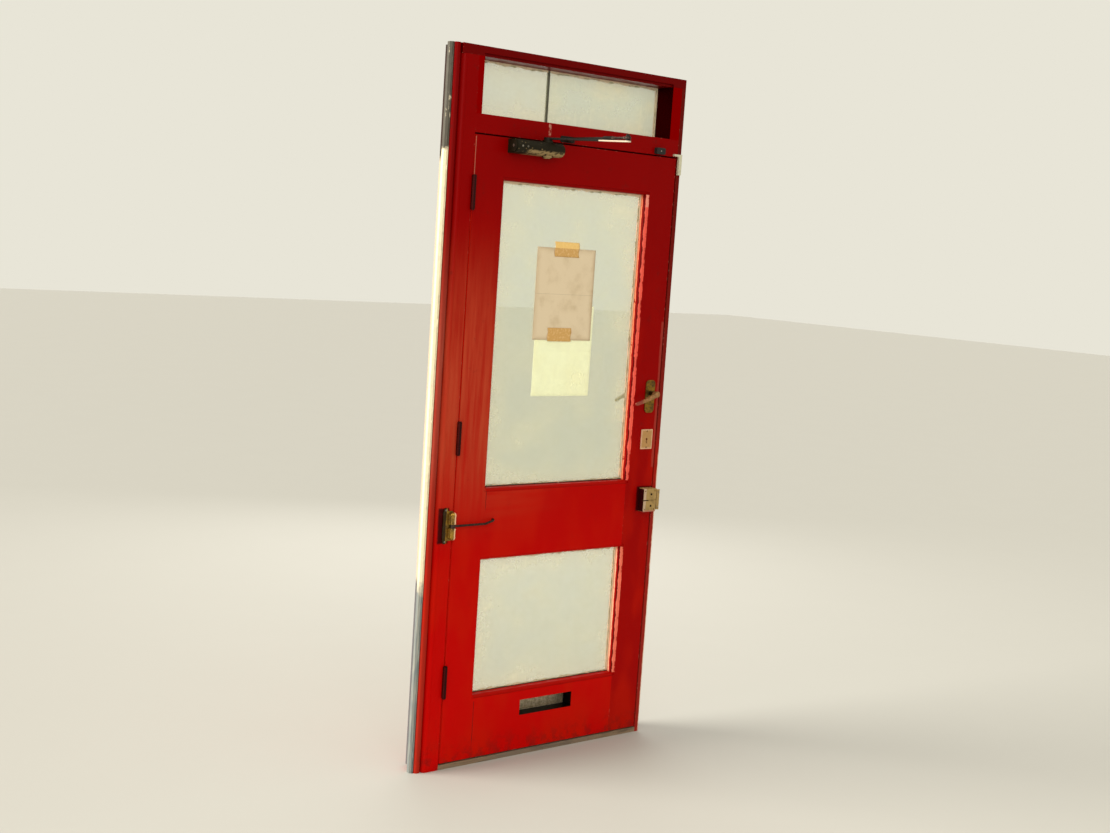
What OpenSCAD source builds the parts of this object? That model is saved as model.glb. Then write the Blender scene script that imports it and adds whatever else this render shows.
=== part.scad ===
// Shop entrance door set: a painted timber frame with a fanlight, a two-light
// glazed door leaf, its hinges, closers, handles, locks and letter plate.
// Millimetres. +X runs from the hinge side to the lock side, +Y out to the street,
// +Z up. The origin is on the floor, midway through the frame's depth and
// in line with the middle of the leaf.

/* [Leaf] */
// Width of the door leaf
leaf_w = 813; // [760:1:900]
// Height of the door leaf
leaf_h = 1981; // [1900:1:2150]
// Thickness of the door leaf
leaf_t = 44; // [40:1:54]
// Gap between the leaf and its frame on every side
leaf_gap = 5; // [5:0.5:7]
// Width of each stile
stile_w = 118; // [105:1:135]
// Height of the top rail
top_rail_h = 130; // [120:1:150]
// Height of the lock rail
lock_rail_h = 232; // [215:1:260]
// Height of the lock rail's underside above the foot of the leaf
lock_rail_up = 653; // [600:1:700]
// Height of the bottom rail
bottom_rail_h = 209; // [205:1:240]
// Thickness of the tenons
tenon_t = 15; // [12:0.5:16]
// Bevel of the leading edge, across the leaf's thickness
edge_bevel = 2; // [2:0.5:4]
// Depth of the sticking between the room face and the glass
sticking_d = 28; // [24:1:28]
// Thickness of the glass in the leaf
leaf_glass_t = 6; // [4:0.5:8]
// Radius of the ovolo moulding round the lights
ovolo_r = 10; // [6:0.5:12]
// Step between the ovolo and the room face
ovolo_quirk = 2.5; // [1:0.5:4]
// Width of the glass rebates in leaf and fanlight
rebate_w = 11; // [9:0.5:13]
// Play between a pane and its rebate
pane_play = 1; // [0.5:0.5:2]

/* [Frame] */
// Depth of the frame through the wall
frame_depth = 100; // [96:1:140]
// Room-side face of the hinge post beside the leaf
post_face = 58.5; // [50:0.5:80]
// Room-side face of the lock jamb beside the leaf
jamb_face = 16; // [14:0.5:40]
// Width of the planted stops behind the leaf, gap included
stop_lap = 20; // [16:0.5:24]
// Room-side face of the transom
transom_face = 57; // [55:1:80]
// Height of the fanlight opening
fanlight_h = 171; // [120:1:400]
// Height of the frame's head
head_h = 30; // [26:1:60]
// Depth and height of the step along the head's lower edge
head_step = 9; // [5:1:12]
// Set-back of the fanlight glass from the room face
fanlight_back = 80; // [60:1:82]
// Thickness of the fanlight glass
fanlight_glass_t = 4; // [3:0.5:6]
// Distance of the fanlight's pane joint left of the leaf's middle
pane_joint_left = 89; // [0:1:150]
// Width of the fanlight's batten on the hinge side
batten_w = 20; // [14:1:30]
// Width of the fanlight's batten on the lock side
lock_batten_w = 39; // [14:1:45]
// Height of the threshold
threshold_h = 16; // [12:1:25]
// Fall of the threshold's weathered half
threshold_fall = 7; // [4:1:9]
// Radius of the moulding on the hinge post's window edge
post_mould_r = 14; // [8:1:20]

/* [Window edge] */
// Width of the red strip beside the hinge post
strip_w = 24; // [16:1:36]
// Set-back of the red strip from the post's room face
strip_back = 6; // [2:1:10]
// Width of the pale bead beside the red strip
bead_w = 12; // [8:1:20]
// Depth of the pale bead
bead_d = 18; // [12:1:30]
// Set-back of the pale bead from the post's room face
bead_back = 16; // [12:1:24]

/* [Hinges] */
// Height of a butt hinge
hinge_h = 102; // [89:1:127]
// Distance of the top hinge's middle below the leaf's top
hinge_top_down = 175; // [150:1:190]
// Height of the middle hinge's middle above the leaf's foot
hinge_mid_up = 1049; // [1000:1:1100]
// Height of the low hinge's middle above the leaf's foot
hinge_low_up = 269; // [265:1:320]
// Radius of the hinge knuckles
knuckle_r = 6.5; // [5:0.5:7]
// Radius of the hinge pins
hinge_pin_r = 3; // [2.5:0.1:4]
// Thickness of the hinge plates
hinge_plate_t = 2.5; // [2:0.1:3]
// Width of a hinge plate let into the timber
hinge_plate_w = 32; // [26:1:36]

/* [Overhead closer] */
// Length of the closer body
closer_w = 187; // [160:1:240]
// Height of the closer body
closer_h = 43; // [38:1:60]
// Depth of the closer body
closer_d = 58; // [50:1:70]
// Distance of the closer body's near end from the leaf's hinge edge
closer_in = 114; // [90:1:140]
// Distance of the body's top below the leaf's top
closer_drop = 2; // [1:0.5:5]
// Distance of the spindle from the leaf's hinge edge
spindle_in = 248.5; // [235:0.5:262]
// Distance of the spindle from the room face
spindle_out = 30; // [26:1:34]
// Radius of the spindle
spindle_r = 6; // [5:0.5:8]
// Distance of the elbow from the leaf's hinge edge
elbow_in = 378.5; // [350:0.5:420]
// Distance of the elbow from the room face
elbow_out = 261; // [240:1:290]
// Distance of the shoe's pivot from the leaf's hinge edge
shoe_in = 346.5; // [320:0.5:370]
// Distance of the shoe's pivot from the room face
shoe_out = 22; // [20:1:30]
// Thickness of the closer's arms
arm_t = 6; // [5:0.5:8]
// Radius of the spindle's boss
boss_r = 16; // [13:0.5:18]
// Length of the forearm's plated adjusting rod
rod_end_len = 96; // [80:1:120]
// Radius of the adjusting rod
rod_end_r = 4; // [3:0.25:4.5]

/* [Spring closer] */
// Height of the spring closer's body
spring_h = 114; // [90:1:150]
// Width of the spring closer's base plate
spring_plate_w = 41; // [36:1:50]
// Radius of the spring barrels
spring_barrel_r = 9; // [7:0.5:10]
// Height of the arm above the leaf's foot
spring_arm_up = 774; // [740:1:800]
// Reach of the arm from its barrel
spring_arm_reach = 160; // [120:1:200]
// Slope of the arm's turned-up end, in degrees
spring_arm_slope = 17; // [5:1:30]
// Length of the arm's turned-up end
spring_arm_tip = 26; // [15:1:40]
// Radius of the arm's rod
spring_rod_r = 3.5; // [3:0.25:5]

/* [Handles and locks] */
// Distance of handle and keyhole from the leaf's lock edge
backset = 41; // [38:0.5:46]
// Height of the handle's spindle above the leaf's foot
handle_up = 1185; // [1000:1:1300]
// Width of the handle plates
handle_plate_w = 40; // [34:1:44]
// Height of the handle plates
handle_plate_h = 112; // [90:1:150]
// Height of the latch's faceplate
latch_face_h = 110; // [90:1:140]
// Height of the latch's case
latch_case_h = 70; // [60:1:80]
// Length of a lever
lever_len = 88; // [70:1:110]
// Droop of the levers at rest, in degrees
lever_droop = 22; // [0:1:30]
// Stand-off of the levers from the leaf
lever_out = 38; // [30:1:50]
// Height of the keyhole above the leaf's foot
keyhole_up = 1026; // [950:1:1040]
// Width of the room-side keyhole plate
keyhole_plate_w = 50; // [36:1:54]
// Height of the keyhole plates
keyhole_plate_h = 68; // [50:1:70]
// Width of the rim lock's box
rim_w = 56; // [50:1:90]
// Height of the rim lock's box
rim_h = 80; // [60:1:100]
// Depth of the rim lock's box
rim_d = 28; // [20:1:35]
// Height of the rim lock's middle above the leaf's foot
rim_up = 817; // [760:1:840]

/* [Letter plate] */
// Width of the letter slot through the rail
slot_w = 216; // [180:1:260]
// Height of the letter slot through the rail
slot_h = 52; // [40:1:60]
// Distance of the slot's top below the lower glass
slot_down = 42; // [40:1:55]
// Distance of the slot's middle right of the leaf's middle
slot_right = 6; // [-20:1:20]
// Rim of the letter plate round the slot
letter_rim = 20; // [14:1:26]
// Thickness of the letter plate
letter_plate_t = 5; // [4:0.5:6]
// Thickness of the letter flap
flap_t = 3; // [2:0.5:4]

/* [Hidden] */

// Shared fits
run_fit = 0.05;
pin_gap = 0.4;
mitre_gap = 0.25;
eps = 1;
$fn = 48;

// Planes through the wall
room_y = -frame_depth / 2;
street_y = frame_depth / 2;
leaf_back_y = room_y + leaf_t;
stop_y = leaf_back_y + leaf_gap;
leaf_mid_y = room_y + leaf_t / 2;
fan_glass_y = room_y + fanlight_back;
leaf_glass_y = room_y + sticking_d;

// Leaf edges and rails
leaf_x0 = -leaf_w / 2;
leaf_x1 = leaf_w / 2;
leaf_z0 = threshold_h + leaf_gap;
leaf_z1 = leaf_z0 + leaf_h;
light_x0 = leaf_x0 + stile_w;
light_x1 = leaf_x1 - stile_w;
bottom_rail_z1 = leaf_z0 + bottom_rail_h;
lock_rail_z0 = leaf_z0 + lock_rail_up;
lock_rail_z1 = lock_rail_z0 + lock_rail_h;
top_rail_z0 = leaf_z1 - top_rail_h;

// Frame edges
pocket_x0 = leaf_x0 - leaf_gap;
pocket_x1 = leaf_x1 + leaf_gap;
pocket_z1 = leaf_z1 + leaf_gap;
open_x0 = pocket_x0 + stop_lap;
open_x1 = pocket_x1 - stop_lap;
open_z1 = pocket_z1 - stop_lap;
post_x0 = pocket_x0 - post_face;
jamb_x1 = pocket_x1 + jamb_face;
transom_z1 = pocket_z1 + transom_face;
fan_x0 = pocket_x0 + batten_w;
fan_x1 = pocket_x1 - lock_batten_w;
fan_z1 = transom_z1 + fanlight_h;
frame_z1 = fan_z1 + head_h;

// Hinges
pin_x = (leaf_x0 + pocket_x0) / 2;
pin_y = room_y - knuckle_r - 1;
hinge_zs = [leaf_z0 + hinge_low_up, leaf_z0 + hinge_mid_up, leaf_z1 - hinge_top_down];
knuckle_count = 5;

// Overhead closer
closer_x0 = leaf_x0 + closer_in;
closer_z1 = leaf_z1 - closer_drop;
closer_z0 = closer_z1 - closer_h;
spindle_x = leaf_x0 + spindle_in;
spindle_y = room_y - spindle_out;
elbow_x = leaf_x0 + elbow_in;
elbow_y = room_y - elbow_out;
shoe_x = leaf_x0 + shoe_in;
shoe_y = room_y - shoe_out;
boss_z1 = closer_z1 + 6;
arm_hub_h = 8;
spindle_deep = 14;
arm_lift = 3;
arm_z1 = boss_z1 + 1 + arm_hub_h;
arm_z0 = arm_z1 - arm_t;
socket_r = rod_end_r + 2;
socket_len = 34;
forearm_z = arm_z1 + arm_lift + rod_end_r;
forearm_z0 = forearm_z - arm_t / 2;
forearm_z1 = forearm_z + arm_t / 2;
shoe_tongue_t = 6;
shoe_tongue_z0 = forearm_z0 - 1.5 - shoe_tongue_t;
shoe_plate_t = 4;
shoe_plate_w = 56;
shoe_plate_h = 20;
arm_hub_r = boss_r - 3;
elbow_r = 10;
elbow_pin_r = 4;

// Spring closer
spring_z = leaf_z0 + spring_arm_up;
spring_x = leaf_x0 - spring_barrel_r - 0.5;
spring_y = room_y - spring_barrel_r - 3;
spring_pin_r = 3;
spring_collar_h = 12;
spring_bend_r = 8;
spring_barrel_half = spring_h / 2 - 12;
spring_pin_half = spring_barrel_half - 8;

// Handles and locks
lock_x = leaf_x1 - backset;
handle_z = leaf_z0 + handle_up;
keyhole_z = leaf_z0 + keyhole_up;
rim_z = leaf_z0 + rim_up;
rim_x1 = leaf_x1 - 0.5;
plate_t = 4;
keyhole_deep = 12;
socket_deep = 12;
keep_half_h = 45;
contact_drop = 54;
neck_r = 8;
handle_bar_r = 6;
stop_in = 80;

// Letter plate
slot_x = slot_right;
slot_z1 = bottom_rail_z1 - slot_down;
slot_z0 = slot_z1 - slot_h;
slot_z = (slot_z0 + slot_z1) / 2;
aperture_in = 4;
flap_roll_r = 4;
flap_pin_r = 2;
flap_axis_y = leaf_back_y + letter_plate_t + flap_roll_r + 0.6;
flap_axis_z = slot_z1 + 3;

// A block between two opposite corners
module block(a, b) {
    translate(a) cube(b - a);
}

// A flat outline with round corners
module round_rect(w, h, r) {
    for (sx = [-1, 1], sz = [-1, 1])
        translate([sx * (w / 2 - r), sz * (h / 2 - r)]) circle(r);
    square([w - 2 * r, h], center = true);
    square([w, h - 2 * r], center = true);
}

// A plate standing in the plane of the leaf, its outline centred on x and z
module upright_plate(x, z, y0, y1) {
    translate([x, y1, z]) rotate([90, 0, 0]) linear_extrude(y1 - y0) children();
}

// A flat bar between two eyes, tapering from radius ra to radius rb
module link_outline(a, b, ra, rb) {
    run = norm(b - a);
    angle = atan2(b[1] - a[1], b[0] - a[0]);
    translate(a) rotate(angle) {
        circle(ra);
        translate([run, 0]) circle(rb);
        polygon([[0, -ra * 0.8], [run, -rb * 0.8], [run, rb * 0.8], [0, ra * 0.8]]);
    }
}

// The rebate for the fanlight's panes and beads, open to the street
module fanlight_rebate() {
    block([fan_x0 - rebate_w, fan_glass_y, transom_z1 - rebate_w],
          [fan_x1 + rebate_w, street_y + eps, fan_z1 + rebate_w]);
}

// The rebate of one light in the leaf
module light_rebate(z0, z1) {
    block([light_x0 - rebate_w, leaf_glass_y, z0 - rebate_w],
          [light_x1 + rebate_w, leaf_back_y + eps, z1 + rebate_w]);
}

module light_rebates() {
    light_rebate(bottom_rail_z1, lock_rail_z0);
    light_rebate(lock_rail_z1, top_rail_z0);
    ovolo_cut(bottom_rail_z1, lock_rail_z0);
    ovolo_cut(lock_rail_z1, top_rail_z0);
}

// One side of a mitred frame, lying along +X from the origin with its section as the
// child, w wide and d deep, and shortened by g at both mitres
module mitred_side(run, w, d, g) {
    intersection() {
        rotate([90, 0, 90]) linear_extrude(run) children();
        translate([0, d, 0]) rotate([90, 0, 0]) linear_extrude(d + eps)
            polygon([[g, 0], [run - g, 0], [run - g - w, w], [g + w, w]]);
    }
}

// A mitred frame from x0 to x1 and z0 to z1, its section running inwards from that edge
module mitred_frame(x0, x1, z0, z1, w, y, d, g) {
    wide = x1 - x0;
    tall = z1 - z0;
    translate([x0, y, z0]) mitred_side(wide, w, d, g) children();
    translate([x1, y, z1]) rotate([0, 180, 0]) mitred_side(wide, w, d, g) children();
    translate([x1, y, z0]) rotate([0, -90, 0]) mitred_side(tall, w, d, g) children();
    translate([x0, y, z1]) rotate([0, 90, 0]) mitred_side(tall, w, d, g) children();
}

// The bead's section, its outer corner rounded
module bead_section(w, d) {
    r = min(w, d) * 0.45;
    square([d - r, w]);
    square([d, w - r]);
    translate([d - r, w - r]) circle(r);
}

// Four beads filling a rebate from x0 to x1 and z0 to z1
module bead_frame(x0, x1, z0, z1, w, y, d) {
    mitred_frame(x0, x1, z0, z1, w, y, d, mitre_gap) bead_section(w, d);
}

// What the ovolo moulding takes away across one light from edge a to edge b, as
// [across, depth from the room face]
module ovolo_section(a, b) {
    deep = ovolo_r + ovolo_quirk;
    difference() {
        translate([a - ovolo_r, -eps]) square([b - a + 2 * ovolo_r, deep + eps]);
        for (edge = [a - ovolo_r, b + ovolo_r]) translate([edge, deep]) circle(ovolo_r);
    }
}

// What it takes away round one light, mitred where the two ways across meet
module ovolo_cut(z0, z1) {
    intersection() {
        translate([0, room_y, z0 - ovolo_r]) linear_extrude(z1 - z0 + 2 * ovolo_r)
            ovolo_section(light_x0, light_x1);
        translate([light_x0 - ovolo_r, room_y, 0]) rotate([90, 0, 90])
            linear_extrude(light_x1 - light_x0 + 2 * ovolo_r) mirror([1, -1]) ovolo_section(z0, z1);
    }
}

// The tenons of the three rails, as [low z, high z]
tenon_in = 25;
haunch = 35;
top_tenons = [[top_rail_z0 + tenon_in, leaf_z1 - haunch]];
lock_tenons = paired_tenons(lock_rail_z0, lock_rail_z1);
bottom_tenons = paired_tenons(leaf_z0, bottom_rail_z1);

function paired_tenons(z0, z1) =
    let (h = (z1 - z0 - 2 * tenon_in) * 0.36)
    [[z0 + tenon_in, z0 + tenon_in + h], [z1 - tenon_in - h, z1 - tenon_in]];

// Tenons through the stile that lies between x0 and x1
module tenons(list, x0, x1) {
    for (t = list)
        block([x0, leaf_mid_y - tenon_t / 2, t[0]], [x1, leaf_mid_y + tenon_t / 2, t[1]]);
}

module stile_mortices(x0, x1) {
    tenons(concat(top_tenons, lock_tenons, bottom_tenons), x0, x1);
}

// A rail between the stiles, with its tenons through both
module rail(z0, z1, list) {
    difference() {
        union() {
            block([light_x0, room_y, z0], [light_x1, leaf_back_y, z1]);
            tenons(list, leaf_x0, light_x0);
            tenons(list, light_x1, leaf_x1 - edge_bevel);
        }
        light_rebates();
    }
}

// Frame

module post_outline() {
    r = post_mould_r;
    quirk = 3;
    translate([post_x0, room_y + r + quirk]) square([pocket_x0 - post_x0, frame_depth - r - quirk]);
    translate([post_x0 + r + quirk, room_y]) square([pocket_x0 - post_x0 - r - quirk, frame_depth]);
    translate([post_x0 + r, room_y + r]) intersection() {
        circle(r);
        translate([-r, -r]) square([2 * r + quirk, 2 * r + quirk]);
    }
    translate([post_x0 + r, room_y + r]) square([quirk + 0.5, quirk + 0.5]);
}

module hinge_post() {
    color("darkred") difference() {
        linear_extrude(fan_z1) post_outline();
        for (z = hinge_zs) hinge_recess(pocket_x0 - hinge_plate_t, z);
    }
}

// The strip stops at the window's glass, like the bead beside it
module post_strip() {
    r = strip_w / 2;
    d = bead_back + bead_d - strip_back;
    color("darkred") linear_extrude(frame_z1) translate([post_x0 - strip_w, room_y + strip_back]) {
        translate([0, r]) square([strip_w, d - r]);
        translate([r, r]) circle(r);
    }
}

module window_bead() {
    x1 = post_x0 - strip_w;
    y0 = room_y + bead_back;
    color("wheat") linear_extrude(frame_z1)
        polygon([[x1, y0], [x1, y0 + bead_d], [x1 - bead_w, y0 + bead_d],
                 [x1 - bead_w, y0 + bead_w / 2], [x1 - bead_w / 2, y0]]);
}

module lock_jamb() {
    color("darkred") difference() {
        block([pocket_x1, room_y, 0], [jamb_x1, street_y, fan_z1]);
        latch_keep_space();
    }
}

// One upright stop, its foot scribed to the threshold
module upright_stop(x0, x1) {
    difference() {
        block([x0, stop_y, 0], [x1, street_y, pocket_z1]);
        threshold_shape();
    }
}

module door_stops() {
    g = mitre_gap;
    color("darkred") {
        upright_stop(pocket_x0, open_x0);
        upright_stop(open_x1, pocket_x1);
        block([open_x0 + g, stop_y, open_z1], [open_x1 - g, street_y, pocket_z1]);
    }
}

module fanlight_battens() {
    color("darkred") for (x = [[pocket_x0, fan_x0], [fan_x1, pocket_x1]]) difference() {
        block([x[0], room_y, transom_z1], [x[1], street_y, fan_z1]);
        fanlight_rebate();
    }
}

module frame_head() {
    color("darkred") difference() {
        block([post_x0, room_y, fan_z1], [jamb_x1, street_y, frame_z1]);
        fanlight_rebate();
        block([fan_x0, room_y - eps, fan_z1 - eps], [fan_x1, room_y + head_step, fan_z1 + head_step]);
    }
}

module transom() {
    color("darkred") difference() {
        block([pocket_x0, room_y, pocket_z1], [pocket_x1, street_y, transom_z1]);
        fanlight_rebate();
    }
}

module threshold_shape() {
    translate([pocket_x0, 0, 0]) rotate([90, 0, 90])
        linear_extrude(pocket_x1 - pocket_x0)
        polygon([[room_y, 0], [street_y, 0], [street_y, threshold_h - threshold_fall],
                 [stop_y, threshold_h], [room_y, threshold_h]]);
}

module threshold() {
    color("saddlebrown") threshold_shape();
}

module fanlight_pane(x0, x1) {
    block([x0, fan_glass_y, transom_z1 - rebate_w + pane_play],
          [x1, fan_glass_y + fanlight_glass_t, fan_z1 + rebate_w - pane_play]);
}

module fanlight_pane_left() {
    color("lightcyan", 0.4)
        fanlight_pane(fan_x0 - rebate_w + pane_play, -pane_joint_left - 1);
}

module fanlight_pane_right() {
    color("lightcyan", 0.4)
        fanlight_pane(-pane_joint_left + 1, fan_x1 + rebate_w - pane_play);
}

// The H-shaped strip between the fanlight's two panes
module fanlight_pane_joint() {
    flange_w = 8;
    flange_t = 1.2;
    color("dimgray") linear_extrude_between(transom_z1, fan_z1) {
        translate([-pane_joint_left - 1, fan_glass_y]) square([2, fanlight_glass_t]);
        for (y = [fan_glass_y - flange_t, fan_glass_y + fanlight_glass_t])
            translate([-pane_joint_left - flange_w / 2, y]) square([flange_w, flange_t]);
    }
}

module linear_extrude_between(z0, z1) {
    translate([0, 0, z0]) linear_extrude(z1 - z0) children();
}

module fanlight_beads() {
    y = fan_glass_y + fanlight_glass_t;
    color("darkred") bead_frame(fan_x0 - rebate_w, fan_x1 + rebate_w, transom_z1 - rebate_w,
                                fan_z1 + rebate_w, rebate_w, y + 1.2, 11);
}

// Hinges

module hinge_recess(x0, z) {
    block([x0, room_y - eps, z - hinge_h / 2],
          [x0 + hinge_plate_t, room_y + hinge_plate_w, z + hinge_h / 2]);
}

// Half of a butt hinge: its plate, and the knuckles numbered in list
module hinge_half(x0, z, list) {
    step = hinge_h / knuckle_count;
    block([x0, room_y, z - hinge_h / 2],
          [x0 + hinge_plate_t, room_y + hinge_plate_w, z + hinge_h / 2]);
    for (i = list) {
        z0 = z - hinge_h / 2 + i * step;
        translate([pin_x, pin_y, z0 + pin_gap / 2]) cylinder(r = knuckle_r, h = step - pin_gap);
        block([x0, pin_y, z0 + pin_gap / 2], [x0 + hinge_plate_t, room_y, z0 + step - pin_gap / 2]);
    }
}

module frame_hinge_plates() {
    color("gray") for (z = hinge_zs) {
        hinge_half(pocket_x0 - hinge_plate_t, z, [0, 2, 4]);
        translate([pin_x, pin_y, z - hinge_h / 2 - 2]) cylinder(r = hinge_pin_r, h = hinge_h + 4);
        for (s = [-1, 1])
            translate([pin_x, pin_y, z + s * (hinge_h / 2 + 1)])
                cylinder(r = knuckle_r - 1.5, h = 3, center = true);
    }
}

module leaf_hinge_plates() {
    color("gray") for (z = hinge_zs) difference() {
        hinge_half(leaf_x0, z, [1, 3]);
        translate([pin_x, pin_y, z - hinge_h / 2 - eps])
            cylinder(r = hinge_pin_r + run_fit, h = hinge_h + 2 * eps);
    }
}

// Leaf

module hinge_stile() {
    color("darkred") difference() {
        block([leaf_x0, room_y, leaf_z0], [light_x0, leaf_back_y, leaf_z1]);
        light_rebates();
        stile_mortices(leaf_x0 - eps, light_x0 + eps);
        for (z = hinge_zs) hinge_recess(leaf_x0, z);
    }
}

module lock_stile() {
    color("darkred") difference() {
        linear_extrude_between(leaf_z0, leaf_z1)
            polygon([[light_x1, room_y], [leaf_x1, room_y], [leaf_x1 - edge_bevel, leaf_back_y],
                     [light_x1, leaf_back_y]]);
        light_rebates();
        stile_mortices(light_x1 - eps, leaf_x1 + eps);
        latch_case_space();
        translate([lock_x, leaf_back_y + eps, handle_z]) rotate([90, 0, 0])
            cylinder(r = 10, h = leaf_t + 2 * eps);
        for (y = [room_y + keyhole_deep, leaf_back_y + eps])
            translate([lock_x, y, keyhole_z]) rotate([90, 0, 0])
                linear_extrude(keyhole_deep + eps) keyhole_outline();
    }
}

module top_rail() {
    color("darkred") rail(top_rail_z0, leaf_z1, top_tenons);
}

module lock_rail() {
    color("darkred") rail(lock_rail_z0, lock_rail_z1, lock_tenons);
}

module bottom_rail() {
    color("darkred") difference() {
        rail(leaf_z0, bottom_rail_z1, bottom_tenons);
        letter_slot(0);
    }
}

module leaf_pane(z0, z1) {
    inset = rebate_w - pane_play;
    color("lightcyan", 0.4)
        block([light_x0 - inset, leaf_glass_y, z0 - inset],
              [light_x1 + inset, leaf_glass_y + leaf_glass_t, z1 + inset]);
}

module upper_glass() {
    leaf_pane(lock_rail_z1, top_rail_z0);
}

module lower_glass() {
    leaf_pane(bottom_rail_z1, lock_rail_z0);
}

module leaf_beads() {
    y = leaf_glass_y + leaf_glass_t;
    color("darkred") for (z = [[bottom_rail_z1, lock_rail_z0], [lock_rail_z1, top_rail_z0]])
        bead_frame(light_x0 - rebate_w, light_x1 + rebate_w, z[0] - rebate_w, z[1] + rebate_w,
                   rebate_w, y, leaf_back_y - y);
}

// Overhead closer

module closer_section() {
    r = closer_h / 2;
    nose_y = room_y - closer_d + r;
    translate([nose_y, closer_z0]) square([room_y - nose_y, closer_h]);
    translate([nose_y, closer_z0 + r]) circle(r);
}

module closer_body() {
    cap_t = 5;
    nose_y = room_y - closer_d + closer_h / 2;
    color("darkslategray") difference() {
        union() {
            translate([closer_x0 + cap_t, 0, 0]) rotate([90, 0, 90])
                linear_extrude(closer_w - 2 * cap_t) closer_section();
            translate([closer_x0, nose_y, (closer_z0 + closer_z1) / 2]) rotate([0, 90, 0])
                cylinder(r = closer_h / 2 - 4, h = closer_w);
            translate([spindle_x, spindle_y, closer_z0 - 4]) cylinder(r = boss_r, h = boss_z1 - closer_z0 + 4);
            translate([spindle_x, spindle_y, closer_z0 - 7]) cylinder(r = boss_r - 5, h = 8);
        }
        translate([spindle_x, spindle_y, boss_z1 - spindle_deep - 1])
            cylinder(r = spindle_r + run_fit, h = spindle_deep + 1 + eps);
        for (x = [closer_x0 - eps, closer_x0 + closer_w - 3])
            translate([x, nose_y, (closer_z0 + closer_z1) / 2]) rotate([0, 90, 0])
                cylinder(r = 5, h = 3 + eps);
    }
}

module closer_arm() {
    color("slategray") {
        translate([spindle_x, spindle_y, boss_z1 - spindle_deep]) cylinder(r = spindle_r, h = spindle_deep + 2);
        translate([spindle_x, spindle_y, boss_z1 + 1]) cylinder(r = arm_hub_r, h = arm_hub_h);
        linear_extrude_between(arm_z0, arm_z1)
            link_outline([spindle_x, spindle_y], [elbow_x, elbow_y], arm_hub_r, elbow_r);
        translate([elbow_x, elbow_y, arm_z1 - eps])
            cylinder(r = elbow_r - 2, h = forearm_z0 - arm_z1 + eps - pin_gap);
        translate([elbow_x, elbow_y, arm_z1 - eps])
            cylinder(r = elbow_pin_r, h = forearm_z1 - arm_z1 + eps + 2);
        translate([elbow_x, elbow_y, forearm_z1 + pin_gap]) cylinder(r = elbow_r - 2, h = 3);
    }
}

// Places its children at the elbow, with +X along the forearm to the shoe
module along_forearm() {
    angle = atan2(shoe_y - elbow_y, shoe_x - elbow_x);
    translate([elbow_x, elbow_y, forearm_z]) rotate(angle) children();
}

// The dark bar of the forearm, from its socket to the shoe
module closer_forearm() {
    run = norm([shoe_x - elbow_x, shoe_y - elbow_y]);
    socket_x = rod_end_len - socket_len + 4;
    eye_r = elbow_r - 1;
    color("slategray") along_forearm() difference() {
        union() {
            translate([socket_x, 0, 0]) rotate([0, 90, 0]) cylinder(r = socket_r, h = socket_len);
            translate([0, 0, -arm_t / 2]) linear_extrude(arm_t) {
                translate([run, 0]) circle(eye_r);
                polygon([[socket_x + socket_len - 6, -socket_r + 1], [run, -eye_r * 0.85],
                         [run, eye_r * 0.85], [socket_x + socket_len - 6, socket_r - 1]]);
            }
        }
        translate([socket_x - eps, 0, 0]) rotate([0, 90, 0])
            cylinder(r = rod_end_r + run_fit, h = socket_len - 4 + eps);
        translate([run, 0, -arm_t]) cylinder(r = elbow_pin_r + 0.5, h = 2 * arm_t);
    }
}

// The plated rod that sets the forearm's length, with its eye on the elbow's pin
module forearm_rod_end() {
    socket_x = rod_end_len - socket_len + 4;
    color("silver") along_forearm() difference() {
        union() {
            translate([0, 0, -arm_t / 2]) linear_extrude(arm_t) {
                circle(elbow_r);
                translate([0, -rod_end_r]) square([elbow_r + 6, 2 * rod_end_r]);
            }
            translate([elbow_r + 2, 0, 0]) rotate([0, 90, 0])
                cylinder(r = rod_end_r, h = rod_end_len - elbow_r - 2);
            translate([socket_x - 8, 0, 0]) rotate([0, 90, 0])
                cylinder(r = socket_r - 0.5, h = 7.7, $fn = 6);
        }
        translate([0, 0, -arm_t]) cylinder(r = elbow_pin_r + run_fit, h = 2 * arm_t);
    }
}

// The shoe on the transom, with its tongue under the forearm's eye
module closer_shoe() {
    z0 = pocket_z1 + 2;
    color("slategray") {
        upright_plate(shoe_x, z0 + shoe_plate_h / 2, room_y - shoe_plate_t, room_y)
            round_rect(shoe_plate_w, shoe_plate_h, 5);
        upright_plate(shoe_x, z0 + shoe_plate_h / 2 - 1, room_y - shoe_plate_t - 5, room_y - 1)
            round_rect(shoe_plate_w / 2, shoe_plate_h - 6, 4);
        linear_extrude_between(shoe_tongue_z0, shoe_tongue_z0 + shoe_tongue_t) {
            translate([shoe_x, shoe_y]) circle(11);
            translate([shoe_x - 11, shoe_y]) square([22, room_y - shoe_y - shoe_plate_t + eps]);
        }
        translate([shoe_x, shoe_y, shoe_tongue_z0 - 2.5]) cylinder(r = 6, h = 3);
    }
}

// Spring closer on the hinge post

// One barrel, from its open end at the collar to its domed end
module spring_barrel(h) {
    r = spring_barrel_r;
    rotate_extrude() {
        square([r, h - r]);
        translate([0, h - r]) intersection() {
            circle(r);
            square([r, r]);
        }
        for (z = [2, h - r - 3]) square_ring(r, z);
    }
}

// The outline of a raised ring round a barrel
module square_ring(r, z) {
    translate([r - 1, z]) square([2, 2]);
}

// The outline of the plate, with a screw ear at the left of each end
module spring_plate_outline(w, h) {
    round_rect(w, h - 20, 4);
    for (s = [-1, 1]) {
        translate([9 - w / 2, s * (h / 2 - 7)]) circle(7);
        translate([2 - w / 2, s * (h / 2 - 14) - 7]) square([14, 14]);
    }
}

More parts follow.
